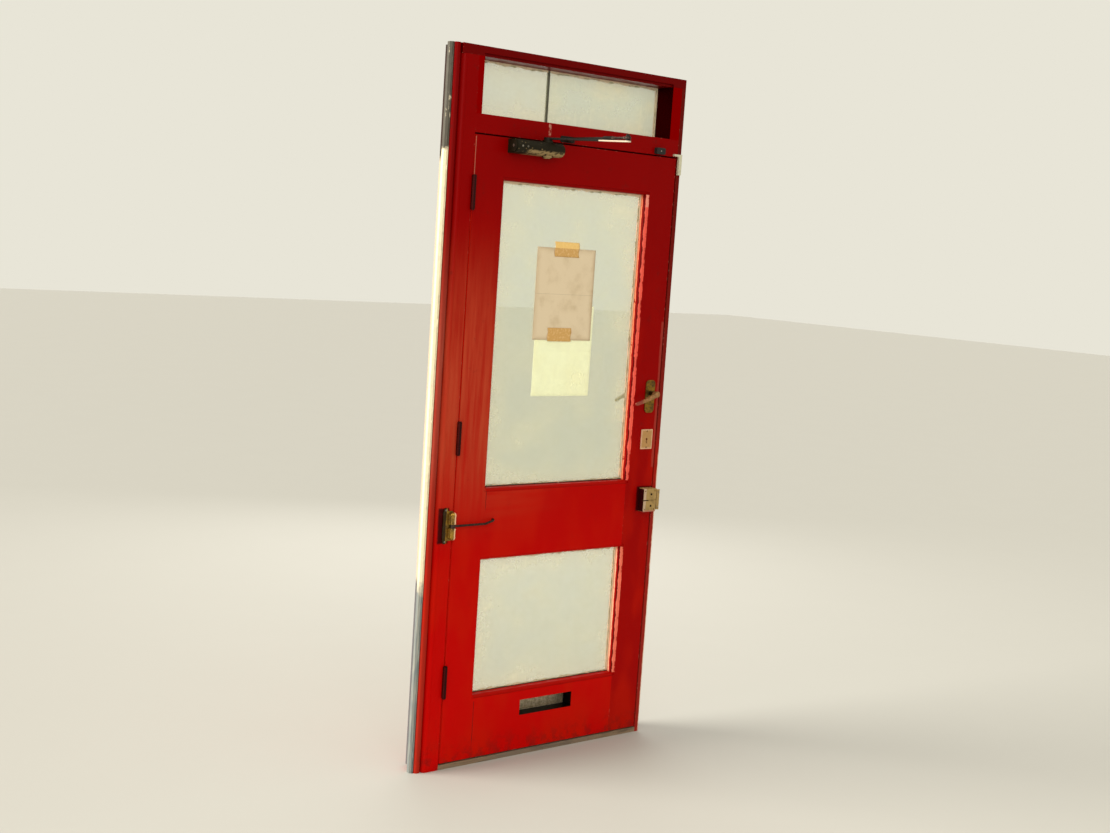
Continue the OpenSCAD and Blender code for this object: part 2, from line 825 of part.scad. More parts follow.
module spring_closer_body() {
    plate_w = spring_plate_w - spring_barrel_r + 3;
    half = spring_barrel_half;
    gap = spring_collar_h / 2 + pin_gap;
    color("darkgoldenrod") difference() {
        union() {
            upright_plate(spring_x + 3 - plate_w / 2, spring_z, room_y - 4, room_y)
                spring_plate_outline(plate_w, spring_h);
            for (s = [-1, 1]) {
                translate([spring_x, spring_y, spring_z + s * gap]) rotate([s < 0 ? 180 : 0, 0, 0])
                    spring_barrel(half - gap);
                translate([spring_x - 7, room_y - 6, spring_z + s * (half + gap - 8) / 2])
                    cube([14, 12 - 0.01, half - gap - 8], center = true);
            }
        }
        translate([spring_x, spring_y, spring_z - spring_pin_half])
            cylinder(r = spring_pin_r + run_fit, h = 2 * spring_pin_half);
    }
}

// A bend of a rod that starts up +Z and turns towards +X
module rod_bend(angle, bend_r, rod_r) {
    translate([bend_r, 0, 0]) rotate([90, 0, 0]) rotate(180 - angle)
        rotate_extrude(angle = angle) translate([bend_r, 0]) circle(rod_r);
}

// A straight run of a rod, let a little way into the bends at both ends
module rod_run(rod_r, run) {
    translate([0, 0, -0.5]) cylinder(r = rod_r, h = run + 1);
}

// Places its children at the end of such a bend
module after_bend(angle, bend_r) {
    translate([bend_r * (1 - cos(angle)), 0, bend_r * sin(angle)]) rotate([0, angle, 0]) children();
}

module spring_closer_arm() {
    r = spring_rod_r;
    b = spring_bend_r;
    a = spring_arm_slope;
    swell = 0.2;
    straight = spring_arm_reach - r - b * sin(a) - (spring_arm_tip + b) * cos(a);
    color("dimgray") {
        translate([spring_x, spring_y, spring_z - spring_pin_half + 1])
            cylinder(r = spring_pin_r, h = 2 * spring_pin_half - 2);
        translate([spring_x, spring_y, spring_z - spring_collar_h / 2])
            cylinder(r = spring_barrel_r - 1.5, h = spring_collar_h);
        translate([spring_x, spring_y, spring_z]) rotate([0, 90, 0]) rotate(180) {
            rod_run(r, straight);
            translate([0, 0, straight]) {
                rod_bend(a, b, r + swell);
                after_bend(a, b) {
                    rod_run(r, spring_arm_tip);
                    translate([0, 0, spring_arm_tip]) rotate(-90) {
                        rod_bend(90, b, r + swell);
                        after_bend(90, b) translate([0, 0, -0.5])
                            cylinder(r = r, h = room_y - spring_y - b);
                    }
                }
            }
        }
    }
}

// Handles and locks

module keyhole_outline() {
    circle(4);
    translate([-2, -14]) square([4, 14]);
}

// The latch's case in the stile and its faceplate in the leaf's edge
module latch_case_space() {
    block([lock_x - 22, leaf_mid_y - 7, handle_z - latch_case_h / 2],
          [leaf_x1 - 4, leaf_mid_y + 7, handle_z + latch_case_h / 2]);
    block([leaf_x1 - 4, leaf_mid_y - 11, handle_z - latch_face_h / 2],
          [leaf_x1 + eps, leaf_mid_y + 11, handle_z + latch_face_h / 2]);
}

module mortice_latch() {
    face_x1 = leaf_x1 - edge_bevel * 0.75;
    color("darkgoldenrod") difference() {
        union() {
            block([lock_x - 22, leaf_mid_y - 7, handle_z - latch_case_h / 2],
                  [leaf_x1 - 4, leaf_mid_y + 7, handle_z + latch_case_h / 2]);
            block([leaf_x1 - 4, leaf_mid_y - 11, handle_z - latch_face_h / 2],
                  [face_x1, leaf_mid_y + 11, handle_z + latch_face_h / 2]);
        }
        translate([lock_x, leaf_mid_y + 8, handle_z]) rotate([90, 0, 0])
            cylinder(r = handle_bar_r + run_fit, h = 16);
    }
}

module latch_keep_space() {
    block([pocket_x1 - eps, leaf_mid_y - 12, handle_z - keep_half_h],
          [pocket_x1 + 2, leaf_mid_y + 12, handle_z + keep_half_h]);
    block([pocket_x1, leaf_mid_y - 7, handle_z - 12],
          [pocket_x1 + socket_deep, leaf_mid_y + 7, handle_z + 18]);
}

module latch_keep() {
    color("darkgoldenrod") difference() {
        block([pocket_x1, leaf_mid_y - 12, handle_z - keep_half_h],
              [pocket_x1 + 2, leaf_mid_y + 12, handle_z + keep_half_h]);
        block([pocket_x1 - eps, leaf_mid_y - 7, handle_z - 12],
              [pocket_x1 + 2 + eps, leaf_mid_y + 7, handle_z + 18]);
    }
}

module handle_plate(y0, y1) {
    difference() {
        upright_plate(lock_x, handle_z - 11, y0, y1) round_rect(handle_plate_w, handle_plate_h, 13);
        translate([lock_x, y1 + eps, handle_z]) rotate([90, 0, 0])
            cylinder(r = neck_r + run_fit, h = y1 - y0 + 2 * eps);
    }
}

module inside_handle_plate() {
    color("darkkhaki") handle_plate(room_y - plate_t, room_y);
}

module outside_handle_plate() {
    color("darkkhaki") handle_plate(leaf_back_y, leaf_back_y + plate_t);
}

// One lever seen from the front: hub, tapering blade and rounded tip
module lever_front() {
    circle(neck_r + 2);
    polygon([[0, -8], [lever_len * 0.45, -5.5], [lever_len, -5], [lever_len, 5],
             [lever_len * 0.45, 7], [0, 9]]);
    translate([lever_len, 0]) circle(5);
}

// The same lever seen from below: thick at the hub, bowed, its tip turned to the leaf
module lever_plan() {
    polygon([[-neck_r - 3, -5], [-neck_r - 3, 4], [-neck_r, 5], [neck_r, 5], [lever_len * 0.35, 5.5],
             [lever_len * 0.65, 4.5], [lever_len * 0.85, 2.2], [lever_len + 3, -2],
             [lever_len + 6, -5], [lever_len + 4, -7], [lever_len - 2, -6.5], [lever_len * 0.8, -3.4],
             [lever_len * 0.6, -1.8], [lever_len * 0.3, -2.5], [neck_r + 2, -5]]);
}

module lever_blade() {
    intersection() {
        translate([0, 0, -10]) linear_extrude(20) lever_front();
        translate([0, 15, 0]) rotate([90, 0, 0]) linear_extrude(30) lever_plan();
    }
}

module lever_handles() {
    in_y = room_y - lever_out;
    out_y = leaf_back_y + lever_out;
    color("burlywood") {
        translate([lock_x, in_y, handle_z]) rotate([90, 0, 0]) rotate(180 + lever_droop) lever_blade();
        translate([lock_x, out_y, handle_z]) mirror([0, 1, 0]) rotate([90, 0, 0])
            rotate(180 + lever_droop) lever_blade();
        translate([lock_x, out_y, handle_z]) rotate([90, 0, 0])
            cylinder(r = handle_bar_r, h = out_y - in_y);
        for (y = [room_y - 0.5, out_y])
            translate([lock_x, y, handle_z]) rotate([90, 0, 0]) cylinder(r = neck_r, h = lever_out - 0.5);
    }
}

module keyhole_plate(y0, y1, w) {
    difference() {
        upright_plate(lock_x, keyhole_z, y0, y1) round_rect(w, keyhole_plate_h, 2);
        upright_plate(lock_x, keyhole_z, y0 - eps, y1 + eps) keyhole_outline();
    }
}

module inside_keyhole_plate() {
    color("tan") keyhole_plate(room_y - 3, room_y, keyhole_plate_w);
}

module outside_keyhole_plate() {
    color("tan") keyhole_plate(leaf_back_y, leaf_back_y + 3, handle_plate_w);
}

module rim_lock_box() {
    color("silver") difference() {
        upright_plate(rim_x1 - rim_w / 2, rim_z, room_y - rim_d, room_y) round_rect(rim_w, rim_h, 3);
        block([rim_x1 - rim_w - eps, room_y - rim_d - eps, rim_z - 1.5],
              [rim_x1 + eps, room_y - rim_d + 3, rim_z + 1.5]);
        for (s = [-1, 1])
            translate([rim_x1 - rim_w / 2 + 6, room_y - rim_d + 3.5, rim_z + s * rim_h / 4])
                rotate([90, 0, 0]) cylinder(r = 4, h = 3.5 + eps);
    }
}

module rim_lock_keep() {
    color("silver") block([pocket_x1 + 1, room_y - rim_d + 4, rim_z - rim_h / 2 + 5],
                          [jamb_x1 - 3, room_y, rim_z + rim_h / 2 - 5]);
}

module door_contact() {
    d = 9;
    top_z = pocket_z1 + 9;
    color("whitesmoke") {
        block([pocket_x1 + 1.5, room_y - d, leaf_z1 - contact_drop], [jamb_x1 - 2.5, room_y, top_z]);
        block([leaf_x1 - 15, room_y - d, pocket_z1 + 2], [jamb_x1 - 2.5, room_y, top_z]);
    }
}

module transom_stop() {
    color("black") upright_plate(leaf_x1 - stop_in, pocket_z1 + 13, room_y - 14, room_y)
        round_rect(38, 21, 4);
}

// Letter plate

// The slot through rail or plate, narrowed on every side by inset
module letter_slot(inset) {
    block([slot_x - slot_w / 2 + inset, room_y - eps, slot_z0 + inset],
          [slot_x + slot_w / 2 - inset, street_y, slot_z1 - inset]);
}

module letter_plate() {
    lug_w = 6;
    flap_w = slot_w + 2;
    color("silver") difference() {
        union() {
            upright_plate(slot_x, slot_z, leaf_back_y, leaf_back_y + letter_plate_t - 2)
                round_rect(slot_w + 2 * letter_rim, slot_h + 2 * letter_rim, 6);
            upright_plate(slot_x, slot_z, leaf_back_y, leaf_back_y + letter_plate_t)
                round_rect(slot_w + 2 * letter_rim - 12, slot_h + 2 * letter_rim - 12, 4);
            for (s = [-1, 1])
                translate([slot_x + s * (flap_w / 2 + pin_gap + lug_w / 2), 0, 0])
                    block([-lug_w / 2, leaf_back_y + 1, flap_axis_z - 5],
                          [lug_w / 2, flap_axis_y + 4, flap_axis_z + 5]);
        }
        letter_slot(aperture_in);
        translate([slot_x - slot_w, flap_axis_y, flap_axis_z]) rotate([0, 90, 0])
            cylinder(r = flap_pin_r + run_fit, h = 2 * slot_w);
    }
}

module letter_flap() {
    flap_w = slot_w + 2;
    y0 = leaf_back_y + letter_plate_t + 0.6;
    color("silver") {
        translate([slot_x - flap_w / 2, flap_axis_y, flap_axis_z]) rotate([0, 90, 0])
            cylinder(r = flap_roll_r, h = flap_w);
        translate([slot_x - flap_w / 2 - 6, flap_axis_y, flap_axis_z]) rotate([0, 90, 0])
            cylinder(r = flap_pin_r, h = flap_w + 12);
        block([slot_x - flap_w / 2, y0, slot_z0 - 2], [slot_x + flap_w / 2, y0 + flap_t, flap_axis_z]);
        translate([slot_x - flap_w / 2, y0 + flap_t, slot_z0 + 1]) rotate([0, 90, 0])
            cylinder(r = flap_t, h = flap_w);
    }
}

hinge_post();
post_strip();
window_bead();
lock_jamb();
frame_head();
transom();
threshold();
door_stops();
fanlight_battens();
fanlight_pane_left();
fanlight_pane_right();
fanlight_pane_joint();
fanlight_beads();
frame_hinge_plates();
closer_shoe();
latch_keep();
rim_lock_keep();
spring_closer_body();
door_contact();
transom_stop();
hinge_stile();
lock_stile();
top_rail();
lock_rail();
bottom_rail();
upper_glass();
lower_glass();
leaf_beads();
leaf_hinge_plates();
closer_body();
mortice_latch();
inside_handle_plate();
outside_handle_plate();
inside_keyhole_plate();
outside_keyhole_plate();
rim_lock_box();
letter_plate();
closer_arm();
closer_forearm();
forearm_rod_end();
spring_closer_arm();
lever_handles();
letter_flap();
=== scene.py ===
"""Looks of a shop entrance door set: paint, glass, metal, glazing lines, notices and screws."""

import logging
import math
import random
from collections.abc import Callable, Iterable
from dataclasses import dataclass, field, replace
from enum import Enum

import bmesh
import bpy
from mathutils import Matrix, Vector


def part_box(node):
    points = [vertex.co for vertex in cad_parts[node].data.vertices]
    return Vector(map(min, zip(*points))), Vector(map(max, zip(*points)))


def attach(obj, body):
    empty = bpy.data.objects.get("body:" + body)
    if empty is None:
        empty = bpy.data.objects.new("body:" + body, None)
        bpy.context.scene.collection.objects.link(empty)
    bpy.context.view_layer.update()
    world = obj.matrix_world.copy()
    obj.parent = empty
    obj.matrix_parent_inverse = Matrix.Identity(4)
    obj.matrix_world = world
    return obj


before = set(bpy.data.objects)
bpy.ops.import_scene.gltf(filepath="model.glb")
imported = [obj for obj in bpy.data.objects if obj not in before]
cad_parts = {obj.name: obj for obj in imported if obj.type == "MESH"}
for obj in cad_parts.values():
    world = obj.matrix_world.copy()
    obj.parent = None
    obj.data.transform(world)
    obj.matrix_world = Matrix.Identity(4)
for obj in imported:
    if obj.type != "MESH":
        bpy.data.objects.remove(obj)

log = logging.getLogger("door_set")

Colour = tuple[float, float, float]
Point = tuple[float, float, float]
Span = tuple[float, float]
Corners = tuple[Vector, Vector]

MM = 0.001
# The room face of the leaf and of its frame, and the street face of the leaf.
ROOM_FACE = -0.050
STREET_FACE = -0.006
# How deep a stain on the room face goes: for bare timber, and for painted shadows where hardware stands on
# it.
ROOM_SKIN = (ROOM_FACE - 2.0 * MM, ROOM_FACE + 1.0 * MM)
ROOM_DEEP = (ROOM_FACE - 10.0 * MM, ROOM_FACE + 1.0 * MM)
# How thick the handle plates, the shoe's plate and the spring closer's ears are.
PLATE_T = 4.0 * MM
# The window side of the post and its pale bead are grey-blue low down, with broken mastic high up.
GREY_BELOW = 0.62
BROKEN_ABOVE = 1.94


class Grain(Enum):
    """The way in which the brush and the timber's grain run."""

    ALONG = (1.0, 0.06, 0.06)
    UPRIGHT = (0.06, 0.06, 1.0)

    def stretch(self) -> Point:
        """Returns the pattern's scale on each axis, small along the grain."""
        return tuple(1.06 - part for part in self.value)


class Face(Enum):
    """The side of a piece that something lies on, as the way it looks."""

    ROOM = (0.0, -1.0, 0.0)
    STREET = (0.0, 1.0, 0.0)
    HINGE_SIDE = (-1.0, 0.0, 0.0)
    LOCK_SIDE = (1.0, 0.0, 0.0)
    UP = (0.0, 0.0, 1.0)

    def turn(self) -> Matrix:
        """Returns the turn that brings +Z to this side's outward way."""
        return Vector(self.value).to_track_quat("Z", "Y").to_matrix().to_4x4()


@dataclass(frozen=True)
class Stain:
    """A block of another colour over a finish, in the part's own metres."""

    x: Span
    y: Span
    z: Span
    shade: Colour
    soft: float = 0.7 * MM
    ragged: float = 6.0 * MM
    cover: float = 0.95
    fade: float = 0.0

    def edges(self) -> tuple[tuple[Span, float], ...]:
        """Returns the span and the softness on each axis, softer at foot and top by the fade."""
        return (self.x, self.soft), (self.y, self.soft), (self.z, self.soft + self.fade)


def maths(operation: str, flipped: bool = False) -> Callable[..., "Wire"]:
    """Makes one of a wire's arithmetic methods.

    Args:
        operation: the Math node's operation.
        flipped: whether the wire comes after the other value.

    Returns:
        The method.
    """

    def method(wire: "Wire", *others: "Wire | float") -> "Wire":
        """Adds a Math node.

        Args:
            wire: the wire that the method is called on.
            others: the other values that go into the node.

        Returns:
            the node's result.
        """
        values = (*others, wire) if flipped else (wire, *others)
        made = wire.tree.node("ShaderNodeMath", {"operation": operation}, dict(enumerate(values)))
        return Wire(wire.tree, made.outputs[0])

    return method


class Wire:
    """One value in a material, with arithmetic that adds Math nodes."""

    __add__ = maths("ADD")
    __radd__ = maths("ADD", flipped=True)
    __sub__ = maths("SUBTRACT")
    __rsub__ = maths("SUBTRACT", flipped=True)
    __mul__ = maths("MULTIPLY")
    __rmul__ = maths("MULTIPLY", flipped=True)
    __abs__ = maths("ABSOLUTE")
    lower = maths("MINIMUM")
    higher = maths("MAXIMUM")

    def __init__(self, tree: "Tree", socket: bpy.types.NodeSocket) -> None:
        """Keeps the tree and the socket that the value comes from."""
        self.tree = tree
        self.socket = socket


class Tree:
    """A material's nodes, ending in one Principled shader."""

    def __init__(self, name: str) -> None:
        """Makes an empty material with its shader and output.

        Args:
            name: the material's name.
        """
        self.material = bpy.data.materials.new(name)
        self.material.use_nodes = True
        self.links = self.material.node_tree.links
        self.nodes = self.material.node_tree.nodes
        self.nodes.clear()
        self.shader = self.node("ShaderNodeBsdfPrincipled")
        surface = Wire(self, self.shader.outputs[0])
        self.node("ShaderNodeOutputMaterial", None, {"Surface": surface})

    def fill(self, made: bpy.types.Node, sockets: dict[str | int, object]) -> None:
        """Sets and wires the inputs of a node.

        Args:
            made: the node.
            sockets: a value or a wire for each named or numbered input.
        """
        for key, value in sockets.items():
            socket = made.inputs[key]
            if isinstance(value, Wire):
                self.links.new(value.socket, socket)
            elif socket.type == "RGBA":
                socket.default_value = (*value, 1.0)
            else:
                socket.default_value = value

    def node(
        self,
        kind: str,
        settings: dict[str, object] | None = None,
        sockets: dict[str | int, object] | None = None,
    ) -> bpy.types.Node:
        """Adds a node.

        Args:
            kind: the node's type.
            settings: its settings, made before its inputs.
            sockets: a value or a wire for each named or numbered input.

        Returns:
            The node.
        """
        made = self.nodes.new(kind)
        for key, value in (settings or {}).items():
            setattr(made, key, value)
        self.fill(made, sockets or {})
        return made

    def place(self) -> Wire:
        """Returns the surface point in the object's own metres."""
        return Wire(self, self.node("ShaderNodeTexCoord").outputs["Object"])

    def axes(self, point: Wire) -> tuple[Wire, Wire, Wire]:
        """Returns the point's three numbers."""
        made = self.node("ShaderNodeSeparateXYZ", None, {0: point})
        return tuple(Wire(self, made.outputs[i]) for i in range(3))

    def stretched(self, point: Wire, by: Point) -> Wire:
        """Returns the point with each axis multiplied."""
        made = self.node("ShaderNodeVectorMath", {"operation": "MULTIPLY"}, {0: point, 1: by})
        return Wire(self, made.outputs[0])

    def noise(self, point: Wire, scale: float, detail: float = 3.0, rough: float = 0.55) -> Wire:
        """Adds a noise.

        Args:
            point: where it is read.
            scale: blobs in each metre.
            detail: how many finer layers it has.
            rough: how strong the finer layers are.

        Returns:
            Its value, about 0.5 in the middle.
        """
        sockets = {"Vector": point, "Scale": scale, "Detail": detail, "Roughness": rough}
        return Wire(self, self.node("ShaderNodeTexNoise", None, sockets).outputs[0])

    def cells(self, point: Wire, scale: float) -> Wire:
        """Returns the distance to the nearest of many scattered spots."""
        made = self.node("ShaderNodeTexVoronoi", None, {"Vector": point, "Scale": scale})
        return Wire(self, made.outputs["Distance"])

    def step(self, value: Wire, low: float, high: float) -> Wire:
        """Adds a soft step.

        Args:
            value: what is compared.
            low: where the step is 0.
            high: where it is 1, which may lie below low.

        Returns:
            A mask from 0 to 1.
        """
        sockets = {"Value": value, "From Min": low, "From Max": high}
        made = self.node("ShaderNodeMapRange", {"interpolation_type": "SMOOTHSTEP"}, sockets)
        return Wire(self, made.outputs[0])

    def blend(self, mask: Wire | float, under: Wire | Colour, over: Wire | Colour) -> Wire:
        """Mixes two colours.

        Args:
            mask: 0 for the first, 1 for the second.
            under: the first colour.
            over: the second colour.

        Returns:
            The mixed colour.
        """
        made = self.node("ShaderNodeMix", {"data_type": "RGBA"}, {0: mask, 6: under, 7: over})
        return Wire(self, made.outputs[2])

    def shades(self, value: Wire, *stops: tuple[float, Colour]) -> Wire:
        """Adds a colour ramp.

        Args:
            value: what it is read at.
            *stops: a place and a colour for each of its stops.

        Returns:
            Its colour.
        """
        made = self.node("ShaderNodeValToRGB", None, {0: value})
        ramp = made.color_ramp.elements
        while len(ramp) < len(stops):
            ramp.new(1.0)
        for stop, (place, shade) in zip(ramp, stops):
            stop.position = place
            stop.color = (*shade, 1.0)
        return Wire(self, made.outputs[0])

    def near_edge(self, point: Wire, corners: Corners, reach: float) -> Wire:
        """Finds the long edges of a box.

        Args:
            point: the surface point.
            corners: the box.
            reach: how far from an edge the mask fades out, in metres.

        Returns:
            A mask that is 1 on the edges.
        """
        far = []
        for axis, low, high in zip(self.axes(point), *corners):
            far.append((axis - float(low)).lower(float(high) - axis))
        least = far[0].lower(far[1])
        most = far[0].higher(far[1])
        second = least.higher(most.lower(far[2]))
        return self.step(second, reach, 0.0)

    def stained(self, point: Wire, shade: Wire, stains: tuple[Stain, ...]) -> Wire:
        """Lays stains over a colour.

        Args:
            point: the surface point.
            shade: the colour under them.
            stains: the stains, lowest first.

        Returns:
            The stained colour.
        """
        if not stains:
            return shade
        drift = self.noise(point, 28.0, 2.0) + 0.5 * self.noise(point, 150.0, 2.0) - 0.75
        axes = self.axes(point)
        for stain in stains:
            mask = stain.cover
            for axis, ((low, high), soft) in zip(axes, stain.edges()):
                moved = axis + stain.ragged * drift
                mask = mask * self.step(moved, low - soft, low)
                mask = mask * self.step(moved, high + soft, high)
            shade = self.blend(mask, shade, stain.shade)
        return shade

    def finish(
        self, sockets: dict[str, object], bump: Wire | None = None, depth: float = 0.0
    ) -> bpy.types.Material:
        """Wires the shader.

        Args:
            sockets: values and wires for the shader's inputs.
            bump: the height of the surface, or none.
            depth: the height of a full bump, in metres.

        Returns:
            The finished material.
        """
        if bump is not None:
            made = self.node("ShaderNodeBump", None, {"Height": bump, "Distance": depth, "Strength": 1.0})
            sockets = {**sockets, "Normal": Wire(self, made.outputs[0])}
        self.fill(self.shader, sockets)
        return self.material


def darker(shade: Colour, by: float) -> Colour:
    """Returns the colour with each of its parts multiplied."""
    return tuple(part * by for part in shade)


@dataclass(frozen=True)
class GlossPaint:
    """Red gloss brushed over old timber, darker high up as painted shade, with a painted highlight at
    mid-height on the hinge side, and worn at its edges.
    """

    low: Colour = (0.51, 0.0010, 0.0002)
    high: Colour = (0.220, 0.0001, 0.0001)
    grain: Grain = Grain.UPRIGHT
    flush: Colour = (0.50, 0.0085, 0.0006)
    painted_highlight: Colour = (0.44, 0.047, 0.019)
    undercoat: Colour = (0.62, 0.30, 0.22)
    grime: Colour = (0.055, 0.010, 0.008)
    edge_wear: float = 0.45
    sheen: float = 0.035
    crack_at: float = 0.0
    crack_span: Span = (0.0, 0.0)
    scar_at: tuple[float, float] | None = None
    stains: tuple[Stain, ...] = ()

    def make(self, name: str, corners: Corners) -> bpy.types.Material:
        """Builds the paint for one timber.

        Args:
            name: the material's name.
            corners: the timber's box.

        Returns:
            The material.
        """
        tree = Tree(name)
        point = tree.place()
        x, _, z = tree.axes(point)
        run = tree.stretched(point, self.grain.stretch())
        streaks = tree.noise(run, 55.0, 4.0, 0.6)
        brush = tree.noise(run, 310.0, 4.0, 0.6)
        sags = tree.noise(tree.stretched(point, (1.0, 1.0, 0.4)), 9.0, 2.0)
        dirt_and_shade = tree.noise(point, 34.0, 6.0, 0.68)
        # The paint darkens towards the top: painted shade, as the top of the door lies in shadow.
        height = tree.step(z, 0.15, 2.15)
        paint = tree.blend(height, self.low, self.high)
        paint = tree.blend(tree.step(sags, 0.44, 0.68) * (1.0 - height) * 0.55, paint, self.flush)
        # A painted highlight at mid-height on the hinge side, streaked along the brush.
        highlight_mask = tree.step(abs(z - 1.22), 0.54, 0.10) * tree.step(x, 0.12, -0.40)
        paint = tree.blend(highlight_mask * (2.2 * streaks + 0.5 * sags - 0.60), paint, self.painted_highlight)
        # Grime, heavier high up, where it adds to the painted shade.
        soil_and_top_shade = tree.step(dirt_and_shade, 0.58, 0.80) * (0.15 + 0.35 * height)
        foot = tree.step(z, 0.12, 0.0) * tree.step(dirt_and_shade, 0.44, 0.62)
        paint = tree.blend(soil_and_top_shade.higher(foot * 0.45), paint, self.grime)
        edge = tree.near_edge(point, corners, 1.6 * MM)
        chips = edge * tree.step(tree.noise(point, 95.0, 3.0), 0.60, 0.68) * self.edge_wear
        paint = tree.blend(chips, paint, self.undercoat)
        shine = 0.27 + 0.14 * dirt_and_shade + 0.30 * soil_and_top_shade + 0.35 * chips
        relief = brush * 0.6 + sags * 0.9 - chips * 0.8
        if self.crack_at:
            ragged = tree.noise(point, 60.0, 2.0)
            low, high = self.crack_span
            gap = tree.step(abs(x + self.crack_at + 0.004 * (ragged - 0.5)), 1.5 * MM, 0.5 * MM)
            gap = gap * tree.step(z, low, low + 30.0 * MM) * tree.step(z, high, high - 1.0 * MM)
            paint = tree.blend(gap * 0.85, paint, self.grime)
            relief = relief - gap * 1.5
        if self.scar_at:
            across = abs(x - self.scar_at[0] + 0.012 * (dirt_and_shade - 0.5))
            up = abs(z - self.scar_at[1])
            scar = tree.step(across, 6.0 * MM, 3.0 * MM) * tree.step(up, 22.0 * MM, 12.0 * MM)
            scar = scar * tree.step(dirt_and_shade, 0.42, 0.56)
            paint = tree.blend(scar * 0.75, paint, self.undercoat)
            shine = shine + scar * 0.3
        paint = tree.stained(point, paint, self.stains)
        sockets = {"Base Color": paint, "Roughness": shine, "Specular IOR Level": self.sheen}
        return tree.finish(sockets, relief, 0.10 * MM)


@dataclass(frozen=True)
class CreamPaint:
    """Cream paint over filler, with old dark mastic broken out high up."""

    clean: Colour = (0.66, 0.56, 0.38)
    worn: Colour = (0.40, 0.36, 0.27)
    grey_foot: Colour = (0.105, 0.125, 0.130)
    mastic: Colour = (0.028, 0.024, 0.018)

    def make(self, name: str) -> bpy.types.Material:
        """Builds the paint.

        Args:
            name: the material's name.

        Returns:
            The material.
        """
        tree = Tree(name)
        point = tree.place()
        _, _, z = tree.axes(point)
        lumps = tree.noise(point, 42.0, 5.0, 0.6)
        streaks = tree.noise(tree.stretched(point, (1.0, 1.0, 0.08)), 160.0, 3.0)
        paint = tree.blend(tree.step(lumps, 0.48, 0.72) * 0.45, self.clean, self.worn)
        ragged = z + 0.10 * (lumps - 0.5)
        grey_foot = tree.step(ragged, GREY_BELOW, GREY_BELOW - 0.05)
        paint = tree.blend(grey_foot * (0.55 + 0.7 * streaks), paint, self.grey_foot)
        broken = tree.step(ragged, BROKEN_ABOVE, BROKEN_ABOVE + 0.02)
        broken = broken * tree.step(streaks + 0.5 * (lumps - 0.5), 0.27, 0.36)
        paint = tree.blend(broken * 0.95, paint, self.mastic)
        rough = 0.50 + 0.30 * lumps + 0.15 * broken
        return tree.finish({"Base Color": paint, "Roughness": rough}, lumps + streaks * 0.5, 0.8 * MM)


@dataclass(frozen=True)
class BareTimber:
    """A threshold's timber, walked bare in the middle and grey at its ends."""

    heart: Colour = (0.235, 0.150, 0.085)
    walked: Colour = (0.150, 0.120, 0.092)
    dark: Colour = (0.045, 0.032, 0.022)

    def make(self, name: str) -> bpy.types.Material:
        """Builds the timber.

        Args:
            name: the material's name.

        Returns:
            The material.
        """
        tree = Tree(name)
        point = tree.place()
        x, _, _ = tree.axes(point)
        rings = tree.noise(tree.stretched(point, Grain.ALONG.stretch()), 170.0, 6.0, 0.65)
        pits = tree.noise(point, 70.0, 5.0, 0.7)
        wood = tree.shades(rings, (0.30, self.dark), (0.50, self.heart), (0.75, self.walked))
        middle = tree.step(abs(x), 0.32, 0.10)
        wood = tree.blend(middle * 0.45, wood, self.walked)
        wood = tree.blend(tree.step(pits, 0.58, 0.74) * 0.7, wood, self.dark)
        sockets = {"Base Color": wood, "Roughness": 0.62 + 0.25 * pits}
        return tree.finish(sockets, rings + pits * 0.6, 0.7 * MM)


@dataclass(frozen=True)
class DustyGlass:
    """A pane with dust in its corners, wiped smears and dried runs."""

    tint: Colour = (0.50, 0.56, 0.36)
    dust: Colour = (0.84, 0.80, 0.54)
    clear: float = 0.26
    dusty: float = 0.46

    def make(self, name: str, corners: Corners) -> bpy.types.Material:
        """Builds the glass for one pane.

        Args:
            name: the material's name.
            corners: the pane's box.

        Returns:
            The material.
        """
        tree = Tree(name)
        point = tree.place()
        x, _, z = tree.axes(point)
        haze = tree.noise(point, 7.0, 6.0, 0.62)
        runs = tree.noise(tree.stretched(point, (1.0, 1.0, 0.05)), 120.0, 4.0, 0.6)
        wiped = tree.noise(tree.stretched(point, (0.5, 1.0, 1.6)), 18.0, 3.0, 0.5)
        side = (x - float(corners[0].x)).lower(float(corners[1].x) - x)
        sill = (z - float(corners[0].z)).lower(float(corners[1].z) - z)
        rim = tree.step(side.lower(sill), 0.11, 0.012)
        dust = tree.step(haze, 0.35, 0.80) * 0.6 + tree.step(runs, 0.50, 0.80) * 0.15
        dust = ((dust + rim * 0.35) * (0.45 + wiped)).lower(1.0)
        shade = tree.blend(dust, self.tint, self.dust)
        cover = self.clear + (self.dusty - self.clear) * dust
        rough = 0.05 + 0.45 * dust
        return tree.finish({"Base Color": shade, "Roughness": rough, "Alpha": cover, "IOR": 1.52})


